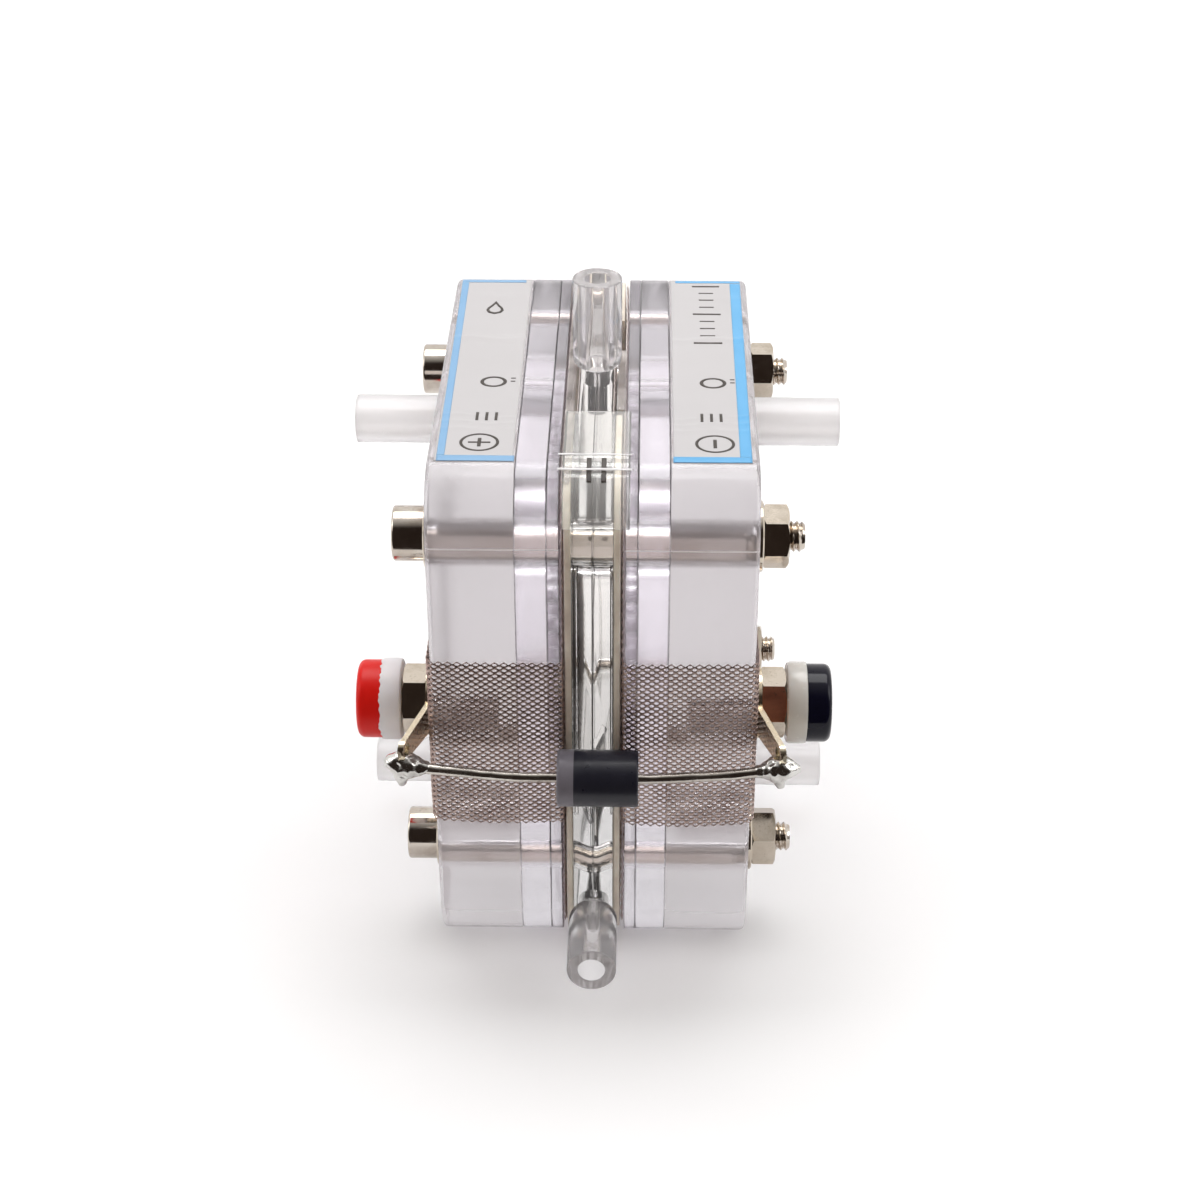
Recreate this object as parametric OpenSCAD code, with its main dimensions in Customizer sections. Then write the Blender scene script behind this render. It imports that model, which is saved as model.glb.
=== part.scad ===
// Bench electrolyzer: a clear bolted cell stack that stands on its base edge. Oxygen chambers lie
// outside and a hydrogen chamber lies in the middle. X runs along the stack, -Y is the front with the
// diode, +Z is up, and the origin is the centre of the base.

/* [Plates] */
// Height of every plate
plate_h = 71.4; // [68:0.2:76]
// Depth of every plate from front to rear
plate_d = 67.8; // [64:0.2:72]
// Corner radius of every plate
plate_r = 8.5; // [7:0.25:10]
// Thickness of an end plate
end_t = 10.9; // [10:0.1:14]
// Rounding of the outer edge of an end plate
end_edge = 0.8; // [0.4:0.1:1.2]
// Thickness of a chamber plate
chamber_t = 3.9; // [3:0.1:6]
// Thickness of a perforated support plate
support_t = 1.5; // [1:0.1:3]
// Thickness of one half of the hydrogen frame
frame_t = 2.6; // [2.5:0.1:4]
// Width and height of the chamber windows
window_w = 36; // [30:0.5:37]
// Corner radius of the chamber windows
window_r = 4; // [2:0.5:6]

/* [Sheets] */
// Thickness of a gasket
gasket_t = 0.9; // [0.7:0.05:1.5]
// How far the gasket and collector edges lie inside the plate edges
sheet_inset = 0.35; // [0.1:0.05:1]
// Thickness of the expanded metal sheets
mesh_t = 0.5; // [0.3:0.05:0.6]
// Play of the collector mesh between gasket and support plate
mesh_play = 0.05; // [0.02:0.01:0.2]
// Thickness of a membrane
membrane_t = 0.2; // [0.1:0.05:0.3]
// Thickness of a catalyst layer
catalyst_t = 0.1; // [0.05:0.05:0.2]
// Width that a membrane laps over the window edge
membrane_lap = 3; // [2:0.25:3.5]
// Thickness of the hydrogen side mesh
inner_mesh_t = 0.4; // [0.3:0.05:0.6]
// Width of the mesh tab that reaches the top edge
inner_tab_w = 28; // [20:0.5:32]
// Depth of the notch that the gasket leaves over the mesh tab
gasket_notch = 6; // [3:0.5:10]

/* [Collector strips] */
// Height of the strip that folds over the front
strip_w = 24; // [20:0.5:28]
// Height of the strip's middle above the plate's middle
strip_z = -0.8; // [-3:0.1:3]
// Stand-off of the strip from the plates
strip_gap = 0.15; // [0.05:0.05:0.4]
// Inner radius of the strip's first bend
strip_bend = 0.3; // [0.25:0.05:0.6]
// Reach of the strip behind the socket's axis
strip_tail = 6.5; // [5.5:0.25:9]
// Spacing of the mesh holes along the strip
hole_pitch_x = 2.1; // [1.8:0.1:3]
// Spacing of the mesh hole rows
hole_pitch_z = 1.9; // [1.6:0.1:3]
// Width of the wire left between mesh holes
hole_wire = 0.6; // [0.4:0.05:0.9]

/* [Bolts] */
// Spacing of the tie bolts
bolt_pitch = 46.9; // [46:0.1:48]
// Diameter of a tie bolt
bolt_d = 4; // [3:0.1:4.5]
// Play between a bolt and its hole, all round
bolt_play = 0.15; // [0.1:0.05:0.4]
// Diameter of a bolt head
head_d = 7; // [6.5:0.1:8]
// Height of a bolt head
head_h = 4; // [3:0.1:5]
// Width across flats of the hexagon socket
key_af = 3; // [2.5:0.1:4]
// Depth of the hexagon socket
key_depth = 2; // [1:0.1:2.5]
// Diameter of a washer
washer_d = 9; // [8.5:0.1:10]
// Thickness of a washer
washer_t = 0.8; // [0.5:0.1:1.2]
// Width across flats of a bolt nut
nut_af = 7; // [6.5:0.1:8]
// Height of a bolt nut
nut_h = 3.2; // [2.5:0.1:4]
// Length of bolt that stands out of its nut
bolt_tip = 2; // [1:0.1:4]

/* [Tubes] */
// Outside diameter of every tube
tube_d = 6.4; // [5.8:0.1:7]
// Bore of every tube
tube_bore = 3.5; // [3:0.1:4]
// Diameter of an oxygen tube's turned end in the end plate
oxygen_seat_d = 6; // [5:0.1:6.2]
// Play between a tube's seat and its socket, all round
tube_play = 0.05; // [0.02:0.01:0.15]
// Length of oxygen tube outside the end plate
oxygen_out = 11.6; // [8:0.1:20]
// Depth of an oxygen tube in the end plate
oxygen_seat = 8; // [5:0.25:9]
// Height of the upper oxygen tubes above the plate's middle
oxygen_up = 27.5; // [26:0.1:28]
// Depth of the lower oxygen tubes below the plate's middle
oxygen_down = 28; // [26:0.1:28]
// Length of the top hydrogen tube outside the frame
top_out = 12.3; // [8:0.1:20]
// Length of the front hydrogen tube outside the frame
front_out = 11.4; // [8:0.1:20]
// Depth of the front hydrogen tube below the plate's middle
front_down = 28.9; // [28.5:0.1:30]
// Diameter of the spigot that enters the frame
spigot_d = 3.9; // [3.4:0.1:3.9]
// Bore of the spigot and of the gas channels
channel_d = 2.6; // [1.8:0.1:2.8]
// Length of the spigot
spigot_l = 6; // [4:0.25:7]
// Length of the taper between tube and spigot
spigot_taper = 1.2; // [0.6:0.1:2]

/* [Sockets] */
// Distance of the socket axis behind the front of the plates
socket_from_front = 9.9; // [8.9:0.1:11.9]
// Height of the socket axis above the plate's middle
socket_z = -1.2; // [-2.5:0.1:2.5]
// Bore that takes the plug
plug_d = 4; // [3.9:0.05:4.2]
// Depth of the plug bore
plug_depth = 14; // [10:0.25:17]
// Width of the cap's lip over the end of the bush
cap_lip = 0.7; // [0.2:0.05:0.8]
// Thickness of the cap's lip
cap_lip_t = 0.35; // [0.2:0.05:0.6]
// Outside diameter of the threaded bush
bush_d = 6; // [5.5:0.1:6.4]
// Depth of the bush in the end plate
bush_seat = 8; // [5:0.25:9]
// Play round the bush
bush_play = 0.05; // [0.02:0.01:0.15]
// Width across flats of the socket nut
socket_nut_af = 8; // [7.5:0.1:10]
// Height of the socket nut
socket_nut_h = 3.2; // [2:0.1:4]
// Diameter of the insulating washer
insulator_d = 10.7; // [10:0.1:13]
// Thickness of the insulating washer
insulator_t = 2.6; // [1.5:0.1:4]
// Diameter of the coloured cap
cap_d = 10.2; // [9.5:0.1:12.5]
// Length of the coloured cap
cap_t = 3.2; // [2:0.1:5]
// Rounding of the cap's front edge
cap_edge = 0.6; // [0.3:0.1:1]
// Thickness of a solder lug
lug_t = 0.7; // [0.4:0.05:1]
// Diameter of the lug's ring
lug_d = 9.4; // [9:0.1:11]
// Width of the lug's tab where it leaves the ring
tab_w = 4.2; // [3.5:0.1:5]
// Width of the tab's rounded end
tab_end_w = 2.8; // [2.5:0.1:3.4]
// Distance from the ring or the nut's corners to the tab's bend
tab_clear = 0.3; // [0.2:0.05:1]
// Length of the bent part of the tab up to its hole
tab_l = 8.6; // [7:0.1:10]
// Angle by which the tab leans outwards
tab_angle = 15.4; // [10:0.2:25]
// Angle by which the tab points down
tab_dip = 5; // [0:1:15]

/* [Diode] */
// Diameter of the diode body
diode_d = 7.2; // [6:0.1:8]
// Length of the diode body
diode_l = 10.2; // [9:0.1:12]
// Edge rounding of the diode body
diode_edge = 0.35; // [0.1:0.05:0.8]
// Offset of the diode to the right of the stack's middle
diode_x = 0.75; // [0:0.05:1]
// Gap between the diode body and the strips
diode_gap = 0.35; // [0.2:0.05:2]
// Depth of the diode's axis below the plate's middle
diode_down = 3.2; // [2.5:0.1:4]
// Diameter of a diode lead
lead_d = 1.2; // [0.8:0.05:1.4]
// Length of lead beyond the tab's hole
lead_stub = 1; // [0.6:0.1:2]
// Largest diameter of a solder joint
solder_d = 4.2; // [3.6:0.1:5]

/* [Films] */
// Thickness of the label films
film_t = 0.12; // [0.08:0.01:0.3]
// Distance of a label from the outer face of its end plate
label_inset = 1; // [0.9:0.1:3]
// Distance of a label from the joint of the end plate
label_edge = 0.3; // [0.1:0.1:2]
// How far a label runs over the start of the rounded corner
label_over = 1.2; // [0:0.1:3]
// Width of the centre tape
tape_w = 8.2; // [6:0.1:9]
// Offset of the centre tape to the right
tape_x = 0.45; // [-0.5:0.05:0.5]
// Distance from the plate's middle to the rear end of the tape
tape_rear = 13.7; // [8:0.1:16]
// Depth of the tape's front end below the top of the plates
tape_drop = 4.2; // [2:0.1:6]

/* [Hidden] */
$fn = 64;
step = 0.01;
mid_z = plate_h / 2;
half_d = plate_d / 2;
flat_y = half_d - plate_r;
socket_y = half_d - socket_from_front;
gasket_x = frame_t;
mesh_x = gasket_x + gasket_t;
support_x = mesh_x + mesh_t + mesh_play;
chamber_x = support_x + support_t;
end_x = chamber_x + chamber_t;
face_x = end_x + end_t;
bolt_hole_d = bolt_d + 2 * bolt_play;
gasket_hole_play = 0.5;
gasket_hole_d = bolt_hole_d + 2 * gasket_hole_play;
sheet_hole_play = 1;
sheet_hole_d = bolt_hole_d + 2 * sheet_hole_play;
membrane_w = window_w + 2 * membrane_lap;
active_play = 0.7;
active_w = window_w - 2 * active_play;
vent_margin = 2;
vent_field_w = active_w - 2 * vent_margin;
lap_play = 0.1;
nut_play = 0.05;
inner_mesh_lap = 1;
inner_mesh_w = window_w + 2 * inner_mesh_lap;
inner_mesh_x = frame_t - catalyst_t - inner_mesh_t;
port_play = 0.1;
tube_r = tube_d / 2;
ring_bore_d = bush_d + 2 * bush_play;
strip_in_x = face_x + strip_gap;
cut_over = 1;
strip_cut = strip_gap + mesh_t + 2 * cut_over;
lug_x = strip_in_x + mesh_t;
socket_nut_x = lug_x + lug_t;
insulator_x = socket_nut_x + socket_nut_h;
cap_x = insulator_x + insulator_t;
socket_end_x = cap_x + cap_t;
strip_front = half_d + strip_gap;
tab_hole_d = lead_d + 0.5;
socket_zz = mid_z + socket_z;
tab_bend_at = max(lug_d, socket_nut_af / cos(30)) / 2 + tab_clear;
tab_hole_reach = tab_bend_at + tab_l * cos(tab_angle);
hole_lug_x = lug_x + lug_t / 2 + tab_l * sin(tab_angle);
hole_y = socket_y + tab_hole_reach * cos(tab_dip);
hole_z = socket_zz - tab_hole_reach * sin(tab_dip);
diode_y = strip_front + mesh_t + diode_gap + diode_d / 2;
diode_z = mid_z - diode_down;

// A flat shape drawn in Y and Z, given a thickness along X
module sheet(x, t) {
    translate([x, 0, 0]) rotate([90, 0, 90]) linear_extrude(t) children();
}

// A round bar along X
module bar_x(x, l, d) {
    translate([x, 0, 0]) rotate([0, 90, 0]) cylinder(h = l, d = d);
}

module rounded_rect(w, h, r) {
    square([w - 2 * r, h], center = true);
    square([w, h - 2 * r], center = true);
    for (sx = [-1, 1], sy = [-1, 1])
        translate([sx * (w / 2 - r), sy * (h / 2 - r)]) circle(r);
}

// The plate's side view, grown or shrunk by a margin
module plate_shape(grow = 0) {
    translate([0, mid_z])
        rounded_rect(plate_d + 2 * grow, plate_h + 2 * grow, plate_r + grow);
}

module square_shape(w, r) {
    translate([0, mid_z]) rounded_rect(w, w, r);
}

module at_bolts_flat() {
    for (sy = [-1, 1], sz = [-1, 1])
        translate([sy * bolt_pitch / 2, mid_z + sz * bolt_pitch / 2]) children();
}

module at_bolts() {
    for (sy = [-1, 1], sz = [-1, 1])
        translate([0, sy * bolt_pitch / 2, mid_z + sz * bolt_pitch / 2]) children();
}

module at_socket() {
    translate([0, -socket_y, socket_zz]) children();
}

module on_left() {
    mirror([1, 0, 0]) children();
}

// An end plate's rim: the full outline, then smaller steps that follow a quarter circle
module end_plate_block() {
    corner_y = half_d - plate_r;
    corner_z = mid_z - plate_r;
    hull()
        for (sy = [-1, 1], sz = [-1, 1])
            translate([0, sy * corner_y, mid_z + sz * corner_z]) {
                bar_x(end_x, end_t - end_edge, 2 * plate_r, $fn = 96);
                for (a = [22.5 : 22.5 : 90])
                    bar_x(end_x, end_t - end_edge * (1 - sin(a)),
                        2 * (plate_r - end_edge * (1 - cos(a))), $fn = 96);
            }
}

module end_plate() {
    difference() {
        end_plate_block();
        at_bolts() bar_x(end_x - 1, end_t + 2, bolt_hole_d);
        for (z = [mid_z + oxygen_up, mid_z - oxygen_down])
            translate([0, 0, z]) {
                bar_x(face_x - oxygen_seat - tube_play, oxygen_seat + 1, oxygen_seat_d + 2 * tube_play);
                bar_x(end_x - 1, end_t, tube_bore);
            }
        at_socket() bar_x(face_x - bush_seat - bush_play, bush_seat + 1, ring_bore_d);
    }
}

// The chamber plate's window, with a slot to each oxygen port
module chamber_cut() {
    square_shape(window_w, window_r);
    for (z = [oxygen_up, -oxygen_down])
        translate([0, mid_z + z / 2]) square([tube_bore, abs(z)], center = true);
    for (z = [oxygen_up, -oxygen_down])
        translate([0, mid_z + z]) circle(d = tube_bore);
}

module chamber_plate() {
    sheet(chamber_x, chamber_t)
        difference() {
            plate_shape();
            chamber_cut();
            at_bolts_flat() circle(d = bolt_hole_d);
        }
}

module support_plate() {
    vents = 7;
    vent_pitch = window_w / (vents + 1);
    vent_d = 0.62 * vent_pitch;
    sheet(support_x, support_t)
        difference() {
            plate_shape();
            at_bolts_flat() circle(d = bolt_hole_d);
            for (i = [1 : vents], j = [1 : vents])
                translate([i * vent_pitch - window_w / 2, mid_z + j * vent_pitch - window_w / 2])
                    circle(d = vent_d, $fn = 24);
        }
}

module gasket() {
    sheet(gasket_x, gasket_t)
        difference() {
            plate_shape(-sheet_inset);
            square_shape(window_w, window_r);
            at_bolts_flat() circle(d = gasket_hole_d);
            translate([0, plate_h]) square([inner_tab_w, 2 * gasket_notch], center = true);
        }
}

// The gasket, stepped inside for the membrane's lap
module gasket_with_pocket() {
    difference() {
        gasket();
        sheet(gasket_x - 1, 1 + membrane_t + step) square_shape(membrane_w + 2 * lap_play, window_r);
    }
}

module membrane() {
    sheet(frame_t, membrane_t) square_shape(membrane_w, window_r - lap_play);
}

module inner_catalyst() {
    sheet(frame_t - catalyst_t, catalyst_t) square_shape(active_w, 1);
}

module outer_catalyst() {
    sheet(frame_t + membrane_t, catalyst_t) square_shape(active_w, 1);
}

module diffusion_felt() {
    sheet(frame_t + membrane_t + catalyst_t, gasket_t - membrane_t - catalyst_t)
        square_shape(active_w, 1);
}

// Inner mesh: a square over the window and a tab that reaches the top edge
module inner_mesh_shape(play) {
    square_shape(inner_mesh_w + 2 * play, 1);
    tab_h = plate_h / 2 - sheet_inset + play;
    translate([-inner_tab_w / 2 - play, mid_z]) square([inner_tab_w + 2 * play, tab_h]);
}

module inner_mesh() {
    slots = 10;
    slot_pitch = window_w / (slots + 1);
    slot_side = 0.47 * slot_pitch;
    sheet(inner_mesh_x, inner_mesh_t)
        difference() {
            inner_mesh_shape(0);
            for (i = [1 : slots], j = [1 : slots])
                translate([i * slot_pitch - window_w / 2, mid_z + j * slot_pitch - window_w / 2])
                    rotate(45) square(slot_side, center = true);
        }
}

// One half of the hydrogen frame. Both halves share the tube sockets and gas channels.
module hydrogen_frame() {
    socket_d = spigot_d + 2 * port_play;
    difference() {
        sheet(0, frame_t)
            difference() {
                plate_shape();
                square_shape(window_w, window_r);
                at_bolts_flat() circle(d = bolt_hole_d);
            }
        sheet(inner_mesh_x, frame_t) {
            inner_mesh_shape(port_play);
            translate([-inner_tab_w / 2 - port_play, mid_z])
                square([inner_tab_w + 2 * port_play, plate_h]);
        }
        translate([0, 0, plate_h - spigot_l - port_play]) cylinder(h = spigot_l + 1, d = socket_d);
        translate([0, 0, mid_z]) cylinder(h = mid_z - spigot_l, d = channel_d);
        translate([0, 0, mid_z - front_down]) {
            translate([0, -half_d + spigot_l + port_play, 0]) rotate([90, 0, 0])
                cylinder(h = spigot_l + 1, d = socket_d);
            rotate([90, 0, 0]) cylinder(h = half_d - spigot_l, d = channel_d);
            cylinder(h = front_down, d = channel_d);
        }
    }
}

// Slanted gaps of the expanded metal, in rows that step by half a pitch
module mesh_gap() {
    w = hole_pitch_x - hole_wire;
    h = hole_pitch_z * 1.25 - hole_wire;
    polygon([[-w / 2, 0], [-w / 6, h / 2], [w / 6, h / 2], [w / 2, 0], [w / 6, -h / 2], [-w / 6, -h / 2]]);
}

module mesh_gaps(l, keep_y, keep_z, keep_r) {
    columns = floor((l - hole_wire) / hole_pitch_x);
    rows = floor((strip_w - hole_wire) / hole_pitch_z);
    for (j = [0 : rows - 1], i = [0 : columns - 1]) {
        u = (i - (columns - 1) / 2) * hole_pitch_x + (j % 2 - 0.5) * hole_pitch_x / 2;
        v = (j - (rows - 1) / 2) * hole_pitch_z;
        if (norm([u - keep_y, v - keep_z]) > keep_r && abs(u) < (l - hole_pitch_x) / 2)
            translate([u, v]) mesh_gap();
    }
}

// The strip seen from above: out of the slot, round the plates and back along the end plate
module strip_path() {
    bend_x = mesh_x + mesh_t + strip_bend;
    bend_y = strip_front - strip_bend;
    out_r = end_edge + strip_gap;
    corner_x = face_x - end_edge;
    corner_y = half_d - end_edge;
    translate([mesh_x, -bend_y]) square([mesh_t, bend_y - flat_y]);
    bend(bend_x, bend_y, strip_bend, [-1, -1]);
    translate([bend_x, -strip_front - mesh_t]) square([corner_x - bend_x, mesh_t]);
    bend(corner_x, corner_y, out_r, [1, -1]);
    translate([corner_x + out_r, -corner_y]) square([mesh_t, corner_y - socket_y + strip_tail]);
}

module bend(x, y, r, quarter) {
    span = r + mesh_t;
    translate([x, -y])
        difference() {
            intersection() {
                circle(span);
                translate([quarter[0] * span / 2, quarter[1] * span / 2]) square(span, center = true);
            }
            circle(r);
        }
}

module collector_mesh() {
    front_l = face_x - end_edge - mesh_x - mesh_t - strip_bend;
    side_l = half_d - end_edge - socket_y + strip_tail;
    strip_mid = mid_z + strip_z;
    side_mid = socket_y - strip_tail + side_l / 2;
    sheet(mesh_x, mesh_t)
        difference() {
            plate_shape(-sheet_inset);
            at_bolts_flat() circle(d = sheet_hole_d);
            square_shape(vent_field_w, 1);
        }
    vented_core();
    difference() {
        translate([0, 0, strip_mid - strip_w / 2]) linear_extrude(strip_w) strip_path();
        translate([mesh_x + mesh_t + strip_bend + front_l / 2, 0, strip_mid])
            rotate([90, 0, 0]) linear_extrude(plate_d) mesh_gaps(front_l, 0, 0, -1);
        translate([face_x - cut_over, -side_mid, strip_mid])
            rotate([90, 0, 90]) linear_extrude(strip_cut)
                mesh_gaps(side_l, side_mid - socket_y, socket_z - strip_z, lug_d / 2 + 1);
        at_socket() bar_x(face_x - cut_over, strip_cut, ring_bore_d);
    }
}

// The collector's middle, open over the support plate's vents
module vented_core() {
    bars = 8;
    core_w = vent_field_w + 1;
    bar_pitch = vent_field_w / bars;
    sheet(mesh_x, mesh_t)
        intersection() {
            square_shape(core_w, 1);
            union()
                for (i = [0 : bars]) {
                    translate([(i - bars / 2) * bar_pitch, mid_z])
                        square([hole_wire, core_w], center = true);
                    translate([0, mid_z + (i - bars / 2) * bar_pitch])
                        square([core_w, hole_wire], center = true);
                }
        }
}

// A hydrogen tube along Z with its seat at zero: spigot, taper and tube
module hydrogen_tube(out) {
    rotate_extrude()
        polygon([
            [channel_d / 2, -spigot_l], [spigot_d / 2, -spigot_l], [spigot_d / 2, 0],
            [tube_r, spigot_taper], [tube_r, out], [tube_bore / 2, out],
            [tube_bore / 2, spigot_taper], [channel_d / 2, 0]
        ]);
}

module oxygen_tube(z) {
    translate([0, 0, z])
        difference() {
            union() {
                bar_x(face_x - oxygen_seat, oxygen_seat + 1, oxygen_seat_d);
                bar_x(face_x, oxygen_out, tube_d);
            }
            bar_x(face_x - oxygen_seat - 1, oxygen_seat + oxygen_out + 2, tube_bore);
        }
}

module hexagon(af, h) {
    cylinder(h = h, d = af / cos(30), $fn = 6);
}

module tie_bolt() {
    head_x = -face_x - washer_t - head_h;
    tip_x = face_x + washer_t + nut_h + bolt_tip;
    edge = 0.3;
    difference() {
        translate([head_x, 0, 0]) rotate([0, 90, 0])
            rotate_extrude()
                polygon([
                    [0, 0], [head_d / 2 - edge, 0], [head_d / 2, edge], [head_d / 2, head_h],
                    [bolt_d / 2, head_h], [bolt_d / 2, tip_x - head_x - edge],
                    [bolt_d / 2 - edge, tip_x - head_x], [0, tip_x - head_x]
                ]);
        translate([head_x - step, 0, 0]) rotate([0, 90, 0]) hexagon(key_af, key_depth + step);
    }
}

module ring_x(x, t, outer, inner) {
    difference() {
        bar_x(x, t, outer);
        bar_x(x - 1, t + 2, inner);
    }
}

module washer_pair() {
    ring_x(face_x, washer_t, washer_d, bolt_hole_d);
    on_left() ring_x(face_x, washer_t, washer_d, bolt_hole_d);
}

// A hexagon nut whose outer corners are turned off by a cone
module nut(x, af, h, bore) {
    across = af / cos(30);
    chamfer = 0.16 * af / 2;
    translate([x, 0, 0]) rotate([0, 90, 0])
        difference() {
            intersection() {
                rotate(30) hexagon(af, h);
                union() {
                    cylinder(h = h - chamfer, d = across + 1);
                    translate([0, 0, h - chamfer])
                        cylinder(h = chamfer, d1 = across + 0.1, d2 = af * 0.96);
                }
            }
            translate([0, 0, -1]) cylinder(h = h + 2, d = bore);
        }
}

module socket_bush() {
    end_x_bush = socket_end_x - cap_lip_t - bush_play;
    at_socket()
        difference() {
            bar_x(face_x - bush_seat, end_x_bush - face_x + bush_seat, bush_d);
            bar_x(end_x_bush - plug_depth, plug_depth + 1, plug_d);
        }
}

module socket_nut() {
    at_socket() nut(socket_nut_x, socket_nut_af, socket_nut_h, ring_bore_d);
}

module socket_insulator() {
    at_socket() ring_x(insulator_x, insulator_t, insulator_d, ring_bore_d);
}

// The coloured cap: a collar with a rounded front edge and a lip over the end of the bush
module socket_cap() {
    edge_x = cap_t - cap_edge;
    mouth_r = ring_bore_d / 2 - cap_lip;
    at_socket() translate([cap_x, 0, 0]) rotate([0, 90, 0])
        rotate_extrude()
            difference() {
                union() {
                    square([cap_d / 2, edge_x]);
                    square([cap_d / 2 - cap_edge, cap_t]);
                    translate([cap_d / 2 - cap_edge, edge_x]) circle(cap_edge);
                }
                translate([-step, -step]) square([ring_bore_d / 2 + step, cap_t - cap_lip_t + step]);
                translate([-step, -1]) square([mouth_r + step, cap_t + 2]);
            }
}

// The lug's side profile from above: flat under the nut, then bent outwards
module lug_profile() {
    far = tab_l + tab_end_w / 2;
    translate([lug_x, -tab_bend_at]) square([lug_t, tab_bend_at - lug_d / 4]);
    translate([lug_x + lug_t / 2, -tab_bend_at]) circle(lug_t / 2);
    translate([lug_x + lug_t / 2, -tab_bend_at]) rotate(tab_angle)
        translate([-lug_t / 2, -far]) square([lug_t, far]);
}

module solder_lug() {
    at_socket() rotate([-tab_dip, 0, 0])
        difference() {
            union() {
                bar_x(lug_x, lug_t, lug_d);
                intersection() {
                    translate([0, 0, -tab_w / 2]) linear_extrude(tab_w) lug_profile();
                    rotate([0, 90, 0]) tab_end_shape();
                }
            }
            bar_x(lug_x - lug_t, 3 * lug_t, ring_bore_d);
            translate([0, -tab_hole_reach, 0]) bar_x(lug_x - tab_l, 3 * tab_l, tab_hole_d);
        }
}

// The tab's outline, seen along the stack: it narrows from the ring to its rounded end
module tab_end_shape() {
    linear_extrude(lug_x + 2 * tab_l)
        union() {
            polygon([
                [tab_w / 2, -lug_d / 4], [-tab_w / 2, -lug_d / 4],
                [-tab_end_w / 2, -tab_hole_reach], [tab_end_w / 2, -tab_hole_reach]
            ]);
            translate([0, -tab_hole_reach]) circle(d = tab_end_w);
        }
}

module diode_body() {
    translate([diode_x - diode_l / 2, -diode_y, diode_z]) rotate([0, 90, 0])
        rotate_extrude()
            union() {
                square([diode_d / 2 - diode_edge, diode_l]);
                translate([0, diode_edge]) square([diode_d / 2, diode_l - 2 * diode_edge]);
                for (z = [diode_edge, diode_l - diode_edge])
                    translate([diode_d / 2 - diode_edge, z]) circle(diode_edge);
            }
}

// A lead leaves the body level and rises in a wide arc to the hole of its lug
module diode_lead(start_x) {
    run = hole_lug_x + lead_stub - start_x;
    rise_z = hole_z - diode_z;
    rise_y = diode_y - hole_y;
    rise = norm([rise_y, rise_z]);
    hole_run = hole_lug_x - start_x;
    arc_r = (hole_run * hole_run + rise * rise) / (2 * rise);
    lean = atan2(rise_y, rise_z);
    translate([start_x, -diode_y, diode_z]) rotate([-lean, 0, 0])
        translate([0, 0, arc_r]) rotate([90, 0, 0]) rotate(-90)
            rotate_extrude(angle = asin(run / arc_r), $fn = 720)
                translate([arc_r, 0]) circle(d = lead_d, $fn = 32);
}

module lead_right() {
    diode_lead(diode_x + diode_l / 2);
}

module lead_left() {
    on_left() diode_lead(-diode_x + diode_l / 2);
}

// Solder: a flared collar on each side of the tab, cut to fit the tab and the lead
module solder_form() {
    inner_l = 2.3;
    outer_l = 1.5;
    translate([hole_lug_x, -hole_y, hole_z]) rotate([0, 90, 0])
        rotate_extrude()
            polygon([
                [0, -inner_l], [0.85, -inner_l], [0.95, -1.4], [1.4, -0.7], [solder_d / 2, -0.1],
                [solder_d / 2, 0.3], [1.5, 0.8], [0.8, outer_l], [0, outer_l]
            ]);
}

module label_film(x0, x1, y0, y1, low_z) {
    intersection() {
        sheet(x0, x1 - x0)
            difference() {
                plate_shape(film_t);
                plate_shape();
            }
        translate([x0 - 1, y0, low_z]) cube([x1 - x0 + 2, y1 - y0, plate_h]);
    }
}

module label() {
    reach = flat_y + label_over;
    label_film(end_x + label_edge, face_x - label_inset, -reach, reach, plate_h - plate_r);
}

module end_plate_left() { color([0.86, 0.86, 0.87, 0.5]) on_left() end_plate(); }
module end_plate_right() { color([0.86, 0.86, 0.87, 0.5]) end_plate(); }
module chamber_plate_left() { color([0.89, 0.87, 0.92, 0.4]) on_left() chamber_plate(); }
module chamber_plate_right() { color([0.89, 0.87, 0.92, 0.4]) chamber_plate(); }
module support_plate_left() { color([0.9, 0.88, 0.93, 0.4]) on_left() support_plate(); }
module support_plate_right() { color([0.9, 0.88, 0.93, 0.4]) support_plate(); }
module collector_mesh_left() { color([0.6, 0.55, 0.52]) on_left() collector_mesh(); }
module collector_mesh_right() { color([0.6, 0.55, 0.52]) collector_mesh(); }
module gasket_left() { color([0.82, 0.79, 0.68]) on_left() gasket_with_pocket(); }
module gasket_right() { color([0.82, 0.79, 0.68]) gasket_with_pocket(); }
module diffusion_felt_left() { color([0.45, 0.45, 0.46]) on_left() diffusion_felt(); }
module diffusion_felt_right() { color([0.45, 0.45, 0.46]) diffusion_felt(); }
module outer_catalyst_left() { color([0.08, 0.08, 0.08]) on_left() outer_catalyst(); }
module outer_catalyst_right() { color([0.08, 0.08, 0.08]) outer_catalyst(); }
module membrane_left() { color([0.75, 0.62, 0.4, 0.6]) on_left() membrane(); }
module membrane_right() { color([0.75, 0.62, 0.4, 0.6]) membrane(); }
module inner_catalyst_left() { color([0.1, 0.1, 0.1]) on_left() inner_catalyst(); }
module inner_catalyst_right() { color([0.1, 0.1, 0.1]) inner_catalyst(); }
module inner_mesh_left() { color([0.62, 0.6, 0.58]) on_left() inner_mesh(); }
module inner_mesh_right() { color([0.62, 0.6, 0.58]) inner_mesh(); }
module hydrogen_frame_left() { color([0.9, 0.89, 0.85, 0.4]) on_left() hydrogen_frame(); }
module hydrogen_frame_right() { color([0.9, 0.89, 0.85, 0.4]) hydrogen_frame(); }
module hydrogen_tube_top() { color([0.9, 0.9, 0.92, 0.5]) translate([0, 0, plate_h]) hydrogen_tube(top_out); }

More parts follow.
